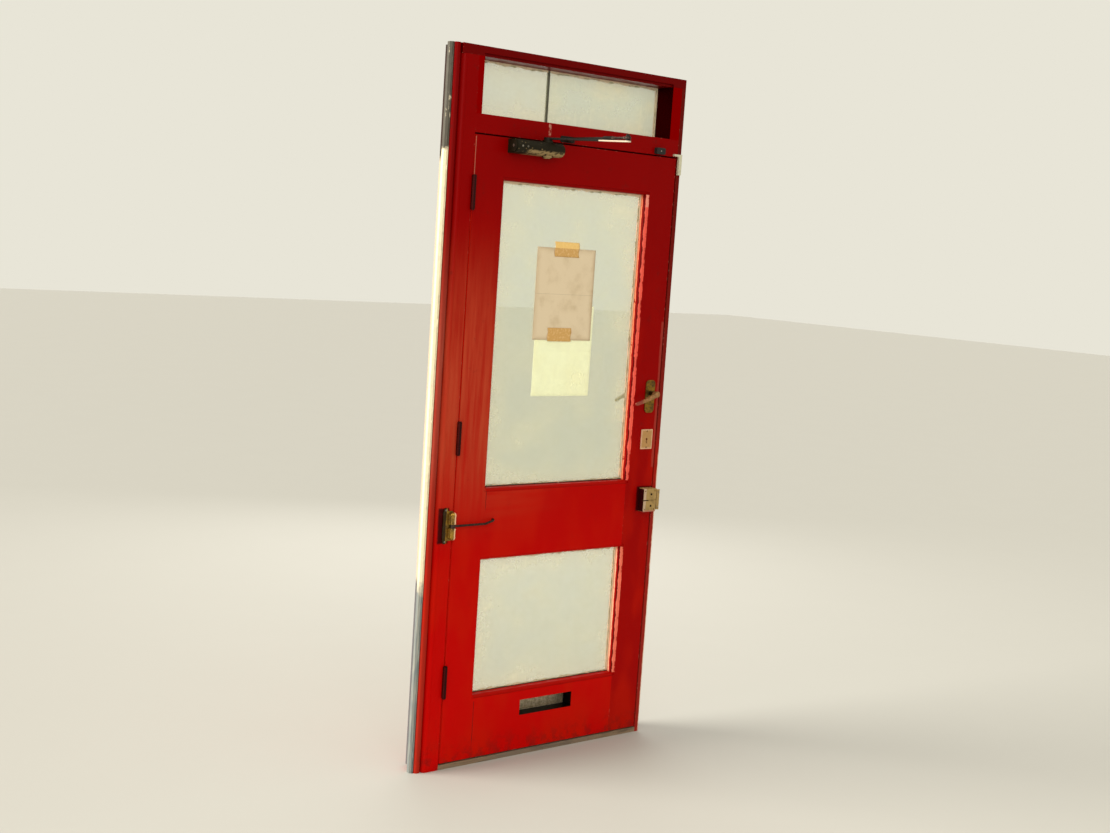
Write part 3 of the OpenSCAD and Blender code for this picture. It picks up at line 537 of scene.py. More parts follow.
@dataclass(frozen=True)
class Metal:
    """Bare or plated metal, rubbed bright where it is handled and dull in its hollows."""

    bright: Colour
    dull: Colour
    shine: float = 0.28
    matt: float = 0.55
    grain: Grain = Grain.UPRIGHT
    spots: float = 0.25
    brushed: float = 0.4
    stains: tuple[Stain, ...] = ()

    def make(self, name: str, corners: Corners | None = None) -> bpy.types.Material:
        """Builds the metal.

        Args:
            name: the material's name.
            corners: the box whose edges are rubbed bright, or none.

        Returns:
            The material.
        """
        tree = Tree(name)
        point = tree.place()
        tarnish = tree.noise(point, 85.0, 6.0, 0.66)
        lines = tree.noise(tree.stretched(point, self.grain.stretch()), 900.0, 2.0)
        pits = tree.step(tree.noise(point, 420.0, 2.0), 0.64, 0.74) * self.spots
        dull = tree.step(tarnish, 0.34, 0.66)
        if corners:
            dull = dull * (1.0 - 0.75 * tree.near_edge(point, corners, 2.2 * MM))
        shade = tree.blend(dull, self.bright, self.dull)
        shade = tree.blend(pits, shade, darker(self.dull, 0.25))
        shade = tree.stained(point, shade, self.stains)
        rough = self.shine + (self.matt - self.shine) * dull + 0.3 * pits
        metal = 1.0 - 0.35 * dull - 0.5 * pits
        sockets = {"Base Color": shade, "Roughness": rough, "Metallic": metal}
        return tree.finish(sockets, lines * self.brushed + tarnish * 0.4 - pits, 0.10 * MM)


@dataclass(frozen=True)
class Enamel:
    """Paint on metal or moulded plastic, chipped to what lies under it."""

    coat: Colour
    under: Colour
    shine: float = 0.32
    chipped: float = 0.6
    sheen: float = 0.5
    splash_and_highlight: Colour | None = None
    highlight_below: float = 0.0
    stains: tuple[Stain, ...] = ()

    def make(self, name: str, corners: Corners) -> bpy.types.Material:
        """Builds the coat for one piece.

        Args:
            name: the material's name.
            corners: the box whose edges chip.

        Returns:
            The material.
        """
        tree = Tree(name)
        point = tree.place()
        x, _, z = tree.axes(point)
        cloud = tree.noise(point, 55.0, 5.0, 0.62)
        flecks = tree.noise(point, 260.0, 3.0, 0.6)
        edge = tree.near_edge(point, corners, 2.0 * MM)
        chips = (edge * tree.step(flecks, 0.50, 0.60) + tree.step(flecks, 0.70, 0.76)) * self.chipped
        chips = chips.lower(1.0)
        shade = tree.blend(tree.step(cloud, 0.45, 0.75) * 0.8, self.coat, darker(self.coat, 0.55))
        relief = cloud * 0.5 + flecks * 0.3 - chips
        # A painted highlight on the lower band, lit from below, with paint splashes as spots.
        if self.splash_and_highlight:
            from_x = corners[0].x + 0.040
            low = tree.step(z + 0.020 * (cloud - 0.5), self.highlight_below, self.highlight_below - 0.006)
            low = low * tree.step(x + 0.03 * (cloud - 0.5), from_x, from_x + 0.015)
            spots = tree.step(tree.cells(point, 75.0) + 0.5 * (flecks - 0.5), 0.20, 0.12)
            spots = spots * tree.step(cloud, 0.48, 0.60)
            splash_and_highlight_mask = (low * tree.step(cloud, 0.40, 0.52)).higher(spots * 0.6)
            shade = tree.blend(splash_and_highlight_mask, shade, self.splash_and_highlight)
            relief = relief + splash_and_highlight_mask * 0.8
        shade = tree.stained(point, tree.blend(chips, shade, self.under), self.stains)
        rough = self.shine + 0.22 * cloud + 0.15 * chips
        sockets = {"Base Color": shade, "Roughness": rough, "Specular IOR Level": self.sheen}
        return tree.finish(sockets, relief, 0.14 * MM)


@dataclass(frozen=True)
class Paper:
    """Copier paper that has hung in the sun: creased, yellowed and slightly wavy; it may glow on its room
    side as painted backlight and be darker on its street side as painted shade.
    """

    sheet: Colour = (0.71, 0.58, 0.40)
    faded: Colour = (0.52, 0.39, 0.23)
    painted_backlight: float = 0.0
    street_side_shade: float = 1.0

    def make(self, name: str, corners: Corners) -> bpy.types.Material:
        """Builds the paper for one sheet.

        Args:
            name: the material's name.
            corners: the sheet's box.

        Returns:
            The material.
        """
        tree = Tree(name)
        point = tree.place()
        _, _, z = tree.axes(point)
        fibre = tree.noise(point, 1400.0, 2.0)
        stain = tree.noise(point, 16.0, 4.0, 0.6)
        middle = float(corners[0].z + corners[1].z) / 2.0
        fold = tree.step(abs(z - middle), 1.2 * MM, 0.2 * MM)
        aged = tree.near_edge(point, corners, 22.0 * MM) * 0.4 + tree.step(stain, 0.45, 0.75) * 0.6
        shade = tree.blend(aged.lower(1.0), self.sheet, self.faded)
        shade = tree.blend(fold * 0.35, shade, darker(self.faded, 0.6))
        # A sheet's room side can glow as painted backlight, and its street side be darker as painted shade.
        _, street, _ = tree.axes(Wire(tree, tree.node("ShaderNodeTexCoord").outputs["Normal"]))
        street = tree.step(street, -0.2, 0.2)
        backlight_colour = tree.blend(street, shade, (0.0, 0.0, 0.0))
        shade = tree.blend(street, shade, darker(self.sheet, self.street_side_shade))
        sockets = {"Base Color": shade, "Roughness": 0.72 + 0.2 * fibre}
        sockets.update({"Emission Color": backlight_colour, "Emission Strength": self.painted_backlight})
        return tree.finish(sockets, fibre * 0.4 + stain, 0.12 * MM)


@dataclass(frozen=True)
class Tape:
    """Brown parcel tape with trapped air."""

    film: Colour = (0.60, 0.34, 0.100)
    bubble: Colour = (0.70, 0.46, 0.20)
    stains: tuple[Stain, ...] = ()

    def make(self, name: str) -> bpy.types.Material:
        """Builds the tape.

        Args:
            name: the material's name.

        Returns:
            The material.
        """
        tree = Tree(name)
        point = tree.place()
        air = tree.step(tree.noise(point, 130.0, 4.0), 0.50, 0.66)
        creases = tree.noise(tree.stretched(point, (0.15, 1.0, 1.0)), 300.0, 3.0)
        shade = tree.stained(point, tree.blend(air * 0.6, self.film, self.bubble), self.stains)
        sockets = {"Base Color": shade, "Roughness": 0.22 + 0.3 * air}
        return tree.finish(sockets, air + creases * 0.5, 0.10 * MM)


@dataclass(frozen=True)
class StagePaint:
    """The studio floor."""

    pale: Colour = (0.50, 0.49, 0.46)

    def make(self, name: str) -> bpy.types.Material:
        """Builds the floor's finish.

        Args:
            name: the material's name.

        Returns:
            The material.
        """
        tree = Tree(name)
        cloud = tree.noise(tree.place(), 3.0, 3.0)
        shade = tree.blend(cloud * 0.25, self.pale, darker(self.pale, 0.94))
        return tree.finish({"Base Color": shade, "Roughness": 0.75 + 0.1 * cloud})


Coating = GlossPaint | DustyGlass | Metal | Enamel

# Painted sunlight: the lock side's reveals and beads as if a low sun shone through the glass.
SUNLIT_SALMON = (0.80, 0.115, 0.080)
SUNLIT_PALE = (0.84, 0.19, 0.12)
SUNLIT_PINK = (0.82, 0.34, 0.26)
SHADOW_RED = (0.016, 0.0002, 0.0002)
WALL_CREAM = (0.70, 0.42, 0.30)
# Painted shade in recesses: the letter slot and the rim lock's holes.
PAINTED_RECESS_SHADE = (0.003, 0.002, 0.0015)
# Painted shadow cast by the spring closer and the rim lock on the red paint.
PAINTED_SHADOW = (0.030, 0.0015, 0.0020)
RED = GlossPaint()
RED_RAIL = GlossPaint(grain=Grain.ALONG)
BRASS = Metal((0.28, 0.155, 0.022), (0.068, 0.038, 0.006), 0.28, 0.50)
SPRING_BRASS = Metal((0.40, 0.235, 0.040), (0.12, 0.064, 0.012), 0.28, 0.50)
LEVER_BRASS = Metal((0.52, 0.27, 0.115), (0.24, 0.12, 0.045), 0.28, 0.48, Grain.ALONG)
DARK_ROD = Metal((0.070, 0.045, 0.036), (0.016, 0.009, 0.007), 0.34, 0.60, Grain.ALONG, 0.3)
LETTER_METAL = Metal((0.56, 0.47, 0.33), (0.27, 0.22, 0.15), 0.36, 0.60, Grain.ALONG, 0.3, 0.12)
SCREW_STEEL = Metal((0.34, 0.31, 0.26), (0.13, 0.11, 0.085), 0.32, 0.55, Grain.ALONG, 0.4)
# The painted-over hinges are near black: painted shade on the knuckles and in the gap.
HINGE_PAINT_IN_SHADE = Enamel((0.050, 0.0015, 0.0010), (0.11, 0.020, 0.015), 0.40, 0.4, 0.08)
# The closer's pale lower band is a painted highlight from below.
CLOSER_PAINT = Enamel((0.014, 0.011, 0.005), (0.11, 0.09, 0.05), 0.44, 0.5, 0.10, (0.27, 0.19, 0.085), 1.974)
ARM_PAINT = Enamel((0.012, 0.010, 0.007), (0.10, 0.085, 0.060), 0.40, 0.5, 0.14)
CREAM_ENAMEL = Enamel((0.64, 0.38, 0.22), (0.72, 0.50, 0.32), 0.34, 0.6, 0.25)
RIM_ENAMEL = Enamel((0.37, 0.235, 0.080), (0.58, 0.36, 0.20), 0.32, 0.75, 0.20)
BLACK_PLASTIC = Enamel((0.018, 0.017, 0.016), (0.07, 0.07, 0.06), 0.48, 0.3, 0.2)
JOINT_PLASTIC = Enamel((0.10, 0.10, 0.070), (0.17, 0.17, 0.12), 0.48, 0.3, 0.2)
WHITE_PLASTIC = Enamel((0.58, 0.55, 0.40), (0.40, 0.34, 0.24), 0.36, 0.35, 0.3)
OLD_PUTTY = Enamel((0.70, 0.58, 0.40), (0.60, 0.16, 0.12), 0.55, 0.5, 0.2)


def middle(corners: Corners) -> Vector:
    """Returns the middle of a box."""
    return (corners[0] + corners[1]) / 2.0


def link(name: str, data: bpy.types.ID) -> bpy.types.Object:
    """Puts a mesh, a light or a camera in the scene.

    Args:
        name: the object's name.
        data: what it shows.

    Returns:
        The object.
    """
    made = bpy.data.objects.new(name, data)
    bpy.context.scene.collection.objects.link(made)
    return made


def grid(across: int, up: int, size: float = 0.5) -> bmesh.types.BMesh:
    """Makes a flat sheet round the origin.

    Args:
        across: its steps on X.
        up: its steps on Y.
        size: half its side.

    Returns:
        The bmesh.
    """
    shape = bmesh.new()
    bmesh.ops.create_grid(shape, x_segments=across, y_segments=up, size=size)
    return shape


def thicken(shape: bmesh.types.BMesh, by: float) -> None:
    """Gives a reshaped sheet its thickness, from its new normals.

    Args:
        shape: the bmesh.
        by: the thickness, in metres.
    """
    bmesh.ops.recalc_face_normals(shape, faces=shape.faces)
    shape.normal_update()
    bmesh.ops.solidify(shape, geom=shape.faces[:], thickness=by)


def shift_new(shape: bmesh.types.BMesh, extruded: dict[str, list], by: Point) -> None:
    """Moves the points that an extrusion made and gave back, in metres."""
    points = [part for part in extruded["geom"] if isinstance(part, bmesh.types.BMVert)]
    bmesh.ops.translate(shape, verts=points, vec=by)


def gather(shape: bmesh.types.BMesh, part: bmesh.types.BMesh) -> None:
    """Joins one bmesh to another.

    Args:
        shape: the bmesh that takes it up.
        part: the bmesh that is taken up and freed.
    """
    mesh = bpy.data.meshes.new("part")
    part.to_mesh(mesh)
    part.free()
    shape.from_mesh(mesh)
    bpy.data.meshes.remove(mesh)


def settle(
    shape: bmesh.types.BMesh,
    name: str,
    body: str,
    material: bpy.types.Material,
    smooth: bool = False,
    turned: bool = False,
) -> None:
    """Turns a finished bmesh into a piece that rides on a body.

    Args:
        shape: the bmesh, which is freed.
        name: the piece's name.
        body: the CAD body that it moves with.
        material: its finish.
        smooth: whether its faces are shaded smooth.
        turned: whether its faces look outwards already, as open shells have to.
    """
    if not turned:
        bmesh.ops.recalc_face_normals(shape, faces=shape.faces)
    for skin in shape.faces:
        skin.smooth = smooth
    mesh = bpy.data.meshes.new(name)
    shape.to_mesh(mesh)
    shape.free()
    piece = link(name, mesh)
    mesh.materials.append(material)
    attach(piece, body)
    log.info("%s: %d faces on %s", name, len(mesh.polygons), body)


@dataclass
class Assembly:
    """A part of the door set whose CAD nodes get their finish and whose small pieces are built."""

    wobble: random.Random = field(default_factory=lambda: random.Random(7))

    def dress(self, node: str, material: bpy.types.Material) -> None:
        """Gives a CAD node its finish.

        Args:
            node: the node's name.
            material: the finish.
        """
        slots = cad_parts[node].data.materials
        if slots:
            for i in range(len(slots)):
                slots[i] = material
        else:
            slots.append(material)
        log.info("%s: %s", node, material.name)

    def coat(self, coating: Coating, *nodes: str) -> None:
        """Gives each of some CAD nodes a material of its own, made for its box."""
        for node in nodes:
            self.dress(node, coating.make(f"{node}_coat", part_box(node)))


@dataclass
class Screws:
    """Slotted countersunk screws of one body, gathered into one piece."""

    radius: float = 3.6 * MM
    proud: float = 0.35 * MM
    slot_w: float = 1.0 * MM
    slot_deep: float = 0.3 * MM
    wobble: random.Random = field(default_factory=lambda: random.Random(11))
    shape: bmesh.types.BMesh = field(default_factory=bmesh.new)

    def add(self, at: Iterable[float], face: Face, size: float = 1.0) -> None:
        """Adds a screw head.

        Args:
            at: the middle of the head on the plate's face, in metres.
            face: the side that it lies on.
            size: its size against the usual one.
        """
        head = bmesh.new()
        bmesh.ops.create_circle(head, cap_ends=True, segments=20, radius=self.radius * size)
        for side in (-1.0, 1.0):
            bmesh.ops.bisect_plane(
                head, geom=head.verts[:] + head.edges[:] + head.faces[:],
                plane_co=(side * self.slot_w * size / 2.0, 0.0, 0.0), plane_no=(1.0, 0.0, 0.0),
            )
        skirt = bmesh.ops.extrude_edge_only(head, edges=[edge for edge in head.edges if edge.is_boundary])
        shift_new(head, skirt, (0.0, 0.0, -self.proud))
        level = [skin for skin in head.faces if abs(skin.normal.z) > 0.9]
        slot = [skin for skin in level if abs(skin.calc_center_median().x) < 1e-5]
        shift_new(head, bmesh.ops.extrude_face_region(head, geom=slot), (0.0, 0.0, -self.slot_deep))
        bmesh.ops.delete(head, geom=slot, context="FACES_ONLY")
        bmesh.ops.recalc_face_normals(head, faces=head.faces)
        cap = max(head.faces, key=lambda skin: abs(skin.normal.z) * skin.calc_area())
        if cap.normal.z < 0.0:
            bmesh.ops.reverse_faces(head, faces=head.faces)
        spin = Matrix.Rotation(self.wobble.uniform(0.0, math.pi), 4, "Z")
        lift = Matrix.Translation((0.0, 0.0, self.proud))
        head.transform(Matrix.Translation(Vector(at)) @ face.turn() @ lift @ spin)
        gather(self.shape, head)

    def done(self, name: str, body: str, metal: Metal = SCREW_STEEL) -> None:
        """Hands the screws over as one piece of that name, body, material slot and metal."""
        settle(self.shape, name, body, metal.make(f"{name}_metal"), turned=True)


@dataclass
class TimberFrame(Assembly):
    """Posts, head, transom, stops, battens and threshold."""

    scar_at: tuple[float, float] = (-0.130, 2.043)
    screw_xs: tuple[float, ...] = (-0.30, 0.0, 0.30)

    def build(self) -> None:
        """Paints the frame and adds its filler and screws."""
        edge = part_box("lock_jamb")[1].x
        wall_line = Stain((edge - 0.0022, edge + 0.01), (-0.06, -0.046), (0.02, 0.98), WALL_CREAM, fade=0.030)
        inner = Stain((-1.0, 1.0), (-0.0485, 0.06), (0.0, 3.0), SHADOW_RED, ragged=1.0 * MM, cover=1.0)
        side = self.window_side()
        # The frame's head and the fanlight's beads are darker: painted shade.
        shaded = GlossPaint((0.30, 0.0010, 0.0005), (0.125, 0.0004, 0.0003), Grain.ALONG)
        # The post's strip has a painted highlight of its own.
        strip = GlossPaint((0.37, 0.020, 0.010), (0.175, 0.0006, 0.0006), painted_highlight=(0.33, 0.056, 0.034))
        self.coat(GlossPaint(stains=(*side, self.spring_closer_shadow())), "hinge_post")
        self.coat(RED, "door_stops")
        # The lock jamb is pinker low down, a painted sheen; its edge takes the wall's cream.
        self.coat(GlossPaint((0.30, 0.020, 0.013), (0.12, 0.004, 0.002), stains=(wall_line,)), "lock_jamb")
        self.coat(GlossPaint(stains=(inner,), sheen=0.0), "fanlight_battens")
        self.coat(strip, "post_strip")
        self.coat(replace(shaded, stains=side), "frame_head")
        self.coat(shaded, "fanlight_beads")
        self.coat(replace(RED_RAIL, scar_at=self.scar_at), "transom")
        self.dress("window_bead", CreamPaint().make("window_bead_cream"))
        self.dress("threshold", BareTimber().make("threshold_timber"))
        self.filler()
        screws = Screws(radius=4.4 * MM)
        low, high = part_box("threshold")
        for x in self.screw_xs:
            screws.add((x, low.y + 18.0 * MM, high.z), Face.UP)
        screws.done("threshold_screws", "frame")

    def window_side(self) -> tuple[Stain, ...]:
        """Works out the hinge post's window side, which is grey-blue, then cream, then broken mastic.

        Returns:
            its three stains, from the foot up.
        """
        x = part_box("hinge_post")[0].x
        bands = (
            (-0.01, GREY_BELOW, (0.09, 0.11, 0.115)),
            (GREY_BELOW, BROKEN_ABOVE, (0.46, 0.38, 0.27)),
            (BROKEN_ABOVE, 2.30, (0.024, 0.020, 0.016)),
        )
        stains = []
        for foot, top, shade in bands:
            block = ((x - 0.01, x + 0.0035), (0.030, 0.06), (foot, top))
            stains.append(Stain(*block, shade, ragged=2.0 * MM, fade=0.030))
        return tuple(stains)

    def spring_closer_shadow(self) -> Stain:
        """Works out the painted shadow that the spring closer casts on the post.

        Returns:
            its stain.
        """
        low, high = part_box("spring_closer_body")
        block = ((low.x - 0.012, low.x + 0.02), ROOM_DEEP, (low.z + 0.004, high.z - 0.004))
        return Stain(*block, PAINTED_SHADOW, 7.0 * MM)

    def filler(self) -> None:
        """Runs the ragged filler line between the pale bead and the red strip."""
        low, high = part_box("window_bead")
        short = 2.0 * MM
        tall = high.z - low.z - 2.0 * short
        shape = grid(2, 220)
        for vert in shape.verts:
            across, up = vert.co.x + 0.5, vert.co.y + 0.5
            ragged = self.wobble.uniform(0.0, 1.0)
            wide = 3.0 * MM + 2.4 * MM * math.sin(up * 47.0) ** 2 * ragged
            crown = 1.6 * MM * (1.0 - abs(2.0 * across - 1.0))
            vert.co = Vector((high.x - across * wide, low.y - crown, low.z + short + up * tall))
        thicken(shape, 0.5 * MM)
        settle(shape, "window_bead_filler", "frame", CreamPaint().make("filler_cream"), True)


@dataclass
class DoorLeaf(Assembly):
    """Stiles, rails and outside beads."""

    shoulder: float = 0.2885
    slot_x: Span = (-0.102, 0.114)
    slot_z: Span = (0.136, 0.188)

    def build(self) -> None:
        """Paints the leaf."""
        lower = (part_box("bottom_rail")[1].z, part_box("lock_rail")[0].z)
        upper = (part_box("lock_rail")[1].z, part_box("top_rail")[0].z)
        cracked = GlossPaint(crack_at=self.shoulder, crack_span=(upper[0] - 0.080, upper[0]))
        self.coat(replace(cracked, edge_wear=0.0, stains=self.hinge_edge()), "hinge_stile")
        (x0, x1), (z0, z1) = self.slot_x, self.slot_z
        # The letter slot's reveals are painted black as shade.
        slot_shade = Stain((x0, x1 + 0.001), (-0.0485, -0.004), (z0 - 0.001, z1), PAINTED_RECESS_SHADE, ragged=1.0 * MM, cover=1.0)
        self.coat(replace(cracked, grain=Grain.ALONG, stains=(self.sill(upper[0]),)), "lock_rail")
        opened = GlossPaint(
            grain=Grain.ALONG, crack_at=self.shoulder - 1.2 * MM, crack_span=(0.055, lower[0] - 0.020),
            stains=(self.sill(lower[0]), slot_shade),
        )
        self.coat(opened, "bottom_rail")
        self.coat(RED_RAIL, "top_rail")
        self.coat(GlossPaint(low=(0.33, 0.0012, 0.0005), stains=self.sunlit(lower, upper)), "lock_stile")
        near = (self.shoulder - 0.03, self.shoulder + 0.03)
        # The outside beads by the lock stile are painted sunlit pink.
        bead = Stain(near, (-0.03, -0.0070), (0.20, 1.90), SUNLIT_PINK, ragged=0.0)
        self.coat(GlossPaint(edge_wear=0.2, stains=(bead,)), "leaf_beads")

    def hinge_edge(self) -> tuple[Stain, ...]:
        """Works out the hinge stile's edge: a painted light line and its worn top.

        Returns:
            the painted light line down the edge, which fills the shade of the gap, and the worn paint at its
            top.
        """
        low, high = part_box("hinge_stile")
        gap_light = ((low.x - 0.01, low.x + 0.0002), (low.y + 0.0006, high.y), (low.z, high.z))
        worn = ((low.x - 0.01, low.x + 0.0016), ROOM_SKIN, (1.850, 1.996))
        return (
            Stain(*gap_light, (0.85, 0.016, 0.006), 0.2 * MM, 0.0),
            Stain(*worn, (0.42, 0.120, 0.080), ragged=2.0 * MM),
        )

    def sill(self, top: float) -> Stain:
        """Returns the shaded line along the top of a rail, under its glass."""
        across = (-self.shoulder, self.shoulder)
        return Stain(across, (-0.052, -0.030), (top - 0.0110, top + 0.001), (0.36, 0.003, 0.001), cover=0.9)

    def band(self, reach: float, y: Span, z: Span, shade: Colour, **looks: float) -> Stain:
        """Returns a stain at the lock stile's shoulder, which reaches that far onto the stile."""
        return Stain((self.shoulder - 0.02, self.shoulder + reach), y, z, shade, **looks)

    def sunlit(self, lower: Span, upper: Span) -> tuple[Stain, ...]:
        """Colours the lock stile, with painted sunlight and shade on its reveals.

        Args:
            lower: the foot and the top of the lower light.
            upper: those of the upper light.

        Returns:
            The stains of its reveals, of its face and the painted shadow round the rim lock.
        """
        # A painted sheen down the leaf's lock edge beside the handle.
        edge_sheen = ((0.399, 0.409), ROOM_SKIN, (0.95, 1.45))
        stains = [Stain(*edge_sheen, (0.33, 0.050, 0.035), 4.0 * MM, cover=0.6)]
        for (foot, top), shade, fringe in (
            (lower, SUNLIT_PALE, (0.92, 0.42, 0.27)),
            (upper, SUNLIT_SALMON, (0.82, 0.23, 0.12)),
        ):
            z = (foot + 0.001, top)
            # From the room to the street, painted sunlight and shade: the sunlit moulding, its shaded quirk,
            # a sunlit pale fringe and the sunlit edge.
            stains.append(self.band(0.0100, (-0.052, -0.0430), z, shade))
            stains.append(self.band(0.0050, (-0.0435, -0.0395), z, (0.09, 0.001, 0.001), ragged=9.0 * MM))
            stains.append(self.band(0.0010, (-0.0310, -0.0165), z, fringe, ragged=7.0 * MM))
            stains.append(self.band(0.0200, (-0.0165, -0.0070), (foot, top), SUNLIT_PINK, ragged=0.0))
        corner = (upper[1] - 0.040, upper[1])
        stains.append(self.band(0.0100, (-0.052, -0.0455), corner, SUNLIT_PINK, cover=0.8))
        # The rim lock's box casts a painted shadow on the stile.
        low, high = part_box("rim_lock_box")
        block = ((low.x - 0.006, high.x), ROOM_DEEP, (low.z + 0.004, high.z))
        stains.append(Stain(*block, PAINTED_SHADOW, 9.0 * MM))
        return tuple(stains)


@dataclass
class Light:
    """One glazed opening, with the corners of its glass inside the rebates."""

    name: str
    body: str
    low: Vector
    high: Vector


@dataclass
class Glazing(Assembly):
    """The panes and the ragged paint and putty lines round them."""

    rebate: float = 10.0 * MM
    line_w: float = 3.0 * MM
    ragged_w: float = 5.0 * MM
    line_t: float = 0.5 * MM
    upright_t: float = 0.7 * MM
    pitch: float = 7.0 * MM

    def lights(self) -> list[Light]:
        """Finds the glazed openings.

        Returns:
            all three, from the lowest up.
        """
        inset = Vector((self.rebate, 0.0, self.rebate))
        made = []
        for name, body, first, last in (
            ("lower_glass", "leaf", "lower_glass", "lower_glass"),
            ("upper_glass", "leaf", "upper_glass", "upper_glass"),
            ("fanlight", "frame", "fanlight_pane_left", "fanlight_pane_right"),
        ):
            made.append(Light(name, body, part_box(first)[0] + inset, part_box(last)[1] - inset))
        return made

    def line_side(
        self, corner: Point, run: Vector, inwards: Vector, length: float, rag: float
    ) -> bmesh.types.BMesh:
        """Lays one side of a ragged line, flat on the glass.

        Args:
            corner: where it starts.
            run: the way that it runs.
            inwards: the way to the middle of the pane.
            length: how long it is.
            rag: how ragged it is.

        Returns:
            The bmesh.
        """
        part = grid(max(12, int(length / self.pitch)), 1)
        phase = self.wobble.uniform(0.0, 9.0)
        for vert in part.verts:
            along = (vert.co.x + 0.5) * length
            inner = vert.co.y > 0.0
            swell = 0.5 + 0.3 * math.sin(along * 61.0 + phase) + 0.2 * math.sin(along * 173.0 + 2.0 * phase)
            reach = self.line_w + self.ragged_w * rag * max(0.0, swell + self.wobble.uniform(-0.25, 0.25))
            vert.co = Vector(corner) + run * along + (inwards * reach if inner else Vector())
        bmesh.ops.recalc_face_normals(part, faces=part.faces)
        return part

    def edge_line(self, light: Light, face: Face, material: bpy.types.Material) -> None:
        """Lays the ragged line round one side of a pane.

        Args:
            light: the opening.
            face: the side.
            material: the finish.
        """
        x0, room_y, z0 = light.low
        x1, street_y, z1 = light.high
        y = room_y if face is Face.ROOM else street_y
        right, up = Vector((1, 0, 0)), Vector((0, 0, 1))
        shape = bmesh.new()
        for corner, run, inwards, length, rag, thick in (
            ((x0, y, z0), right, up, x1 - x0, 0.9, self.line_t),
            ((x0, y, z1), right, -up, x1 - x0, 1.3, self.line_t),
            ((x0, y, z0), up, right, z1 - z0, 0.7, self.upright_t),
            ((x1, y, z0), up, -right, z1 - z0, 0.7, self.upright_t),
        ):
            part = self.line_side(corner, run, inwards, length, rag)
            raised = bmesh.ops.extrude_face_region(part, geom=part.faces[:])
            shift_new(part, raised, Vector(face.value) * thick)
            gather(shape, part)
        name = f"{light.name}_{face.name.lower()}_putty_line"
        settle(shape, name, light.body, material)

    def build(self) -> None:
        """Dresses the panes and lays the lines."""
        self.coat(DustyGlass(), "upper_glass", "lower_glass", "fanlight_pane_left")
        self.coat(DustyGlass(tint=(0.52, 0.60, 0.42), clear=0.34, dusty=0.55), "fanlight_pane_right")
        self.coat(JOINT_PLASTIC, "fanlight_pane_joint")
        for light in self.lights():
            low, high = light.low, light.high
            # A painted shade line at the foot of each pane, in the gap by the glass.
            foot = ((low.x, high.x), (low.y - 0.01, low.y), (low.z - 0.01, low.z + 0.0035))
            dirt_and_shade = Stain(*foot, (0.045, 0.018, 0.010), ragged=3.0 * MM)
            putty = replace(OLD_PUTTY, stains=(dirt_and_shade,)).make(f"{light.name}_putty", (low, high))
            self.edge_line(light, Face.ROOM, putty)
            self.edge_line(light, Face.STREET, putty)


@dataclass
class Notices(Assembly):
    """Two blank sheets taped to the upper glass."""

    paper_t: float = 0.25 * MM
    wave: float = 1.2 * MM
    tape_t: float = 0.15 * MM

    def sheet(self, name: str, paper: Paper, x: Span, z: Span, y: float, face: Face) -> None:
        """Hangs one sheet.

        Args:
            name: the sheet's name.
            paper: its paper.
            x: its left and right edges.
            z: its foot and top.
            y: the glass face that it hangs on.
            face: the side of the glass.
        """
        shape = grid(24, 30)
        way = face.value[1]
        for vert in shape.verts:
            across, up = vert.co.x + 0.5, vert.co.y + 0.5
            loose = math.sin(math.pi * up) ** 2 * (0.5 + 0.5 * math.cos(across * 7.0 + up * 3.0))
            curl = (1.0 - up) ** 6 * abs(2.0 * across - 1.0) ** 3
            away = 0.3 * MM + self.wave * (loose + 1.4 * curl)
            vert.co = Vector((x[0] + across * (x[1] - x[0]), y + way * away, z[0] + up * (z[1] - z[0])))
        thicken(shape, self.paper_t)
        corners = (Vector((x[0], y - 0.003, z[0])), Vector((x[1], y + 0.003, z[1])))
        settle(shape, name, "leaf", paper.make(f"{name}_paper", corners), True)

    def strip(self, name: str, at: Point, wide: float, tall: float, material: bpy.types.Material) -> None:
        """Sticks one strip of tape over a sheet's edge on the room side.

        Args:
            name: the strip's name.
            at: its middle, on the glass.
            wide: its length across.
            tall: its width.
            material: the finish.
        """
        shape = grid(18, 10)
        x, y, z = at
        for vert in shape.verts:
            torn = 1.6 * MM * math.sin(vert.co.y * 71.0) * (abs(vert.co.x) > 0.49)
            bulge = 0.35 * MM * math.cos(vert.co.x * 9.0) * math.cos(vert.co.y * 3.0)
            vert.co = Vector((x + vert.co.x * wide + torn, y - 1.5 * MM - bulge, z + vert.co.y * tall))
        thicken(shape, self.tape_t)
        settle(shape, name, "leaf", material, True)

    def build(self) -> None:
        """Hangs both sheets and their tape."""
        low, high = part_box("upper_glass")
        # The street notice glows as painted backlight and is darker on its street side as painted shade.
        bright = Paper((0.92, 0.90, 0.66), (0.86, 0.82, 0.56), 0.60, 0.45)
        top = 1.677
        self.sheet("room_notice", Paper(), (-0.128, 0.110), (1.379, top), low.y, Face.ROOM)
        self.sheet("street_notice", bright, (-0.113, 0.123), (1.195, 1.492), high.y, Face.STREET)
        off_sheet = ((-0.10, 0.10), (low.y - 0.005, low.y + 0.005), (top, 1.720))
        tape = Tape(stains=(Stain(*off_sheet, (0.86, 0.56, 0.18), ragged=0.0),)).make("parcel_tape")
        self.strip("notice_tape_top", (-0.010, low.y, 1.673), 0.099, 0.048, tape)
        self.strip("notice_tape_foot", (-0.020, low.y, 1.397), 0.096, 0.044, tape)


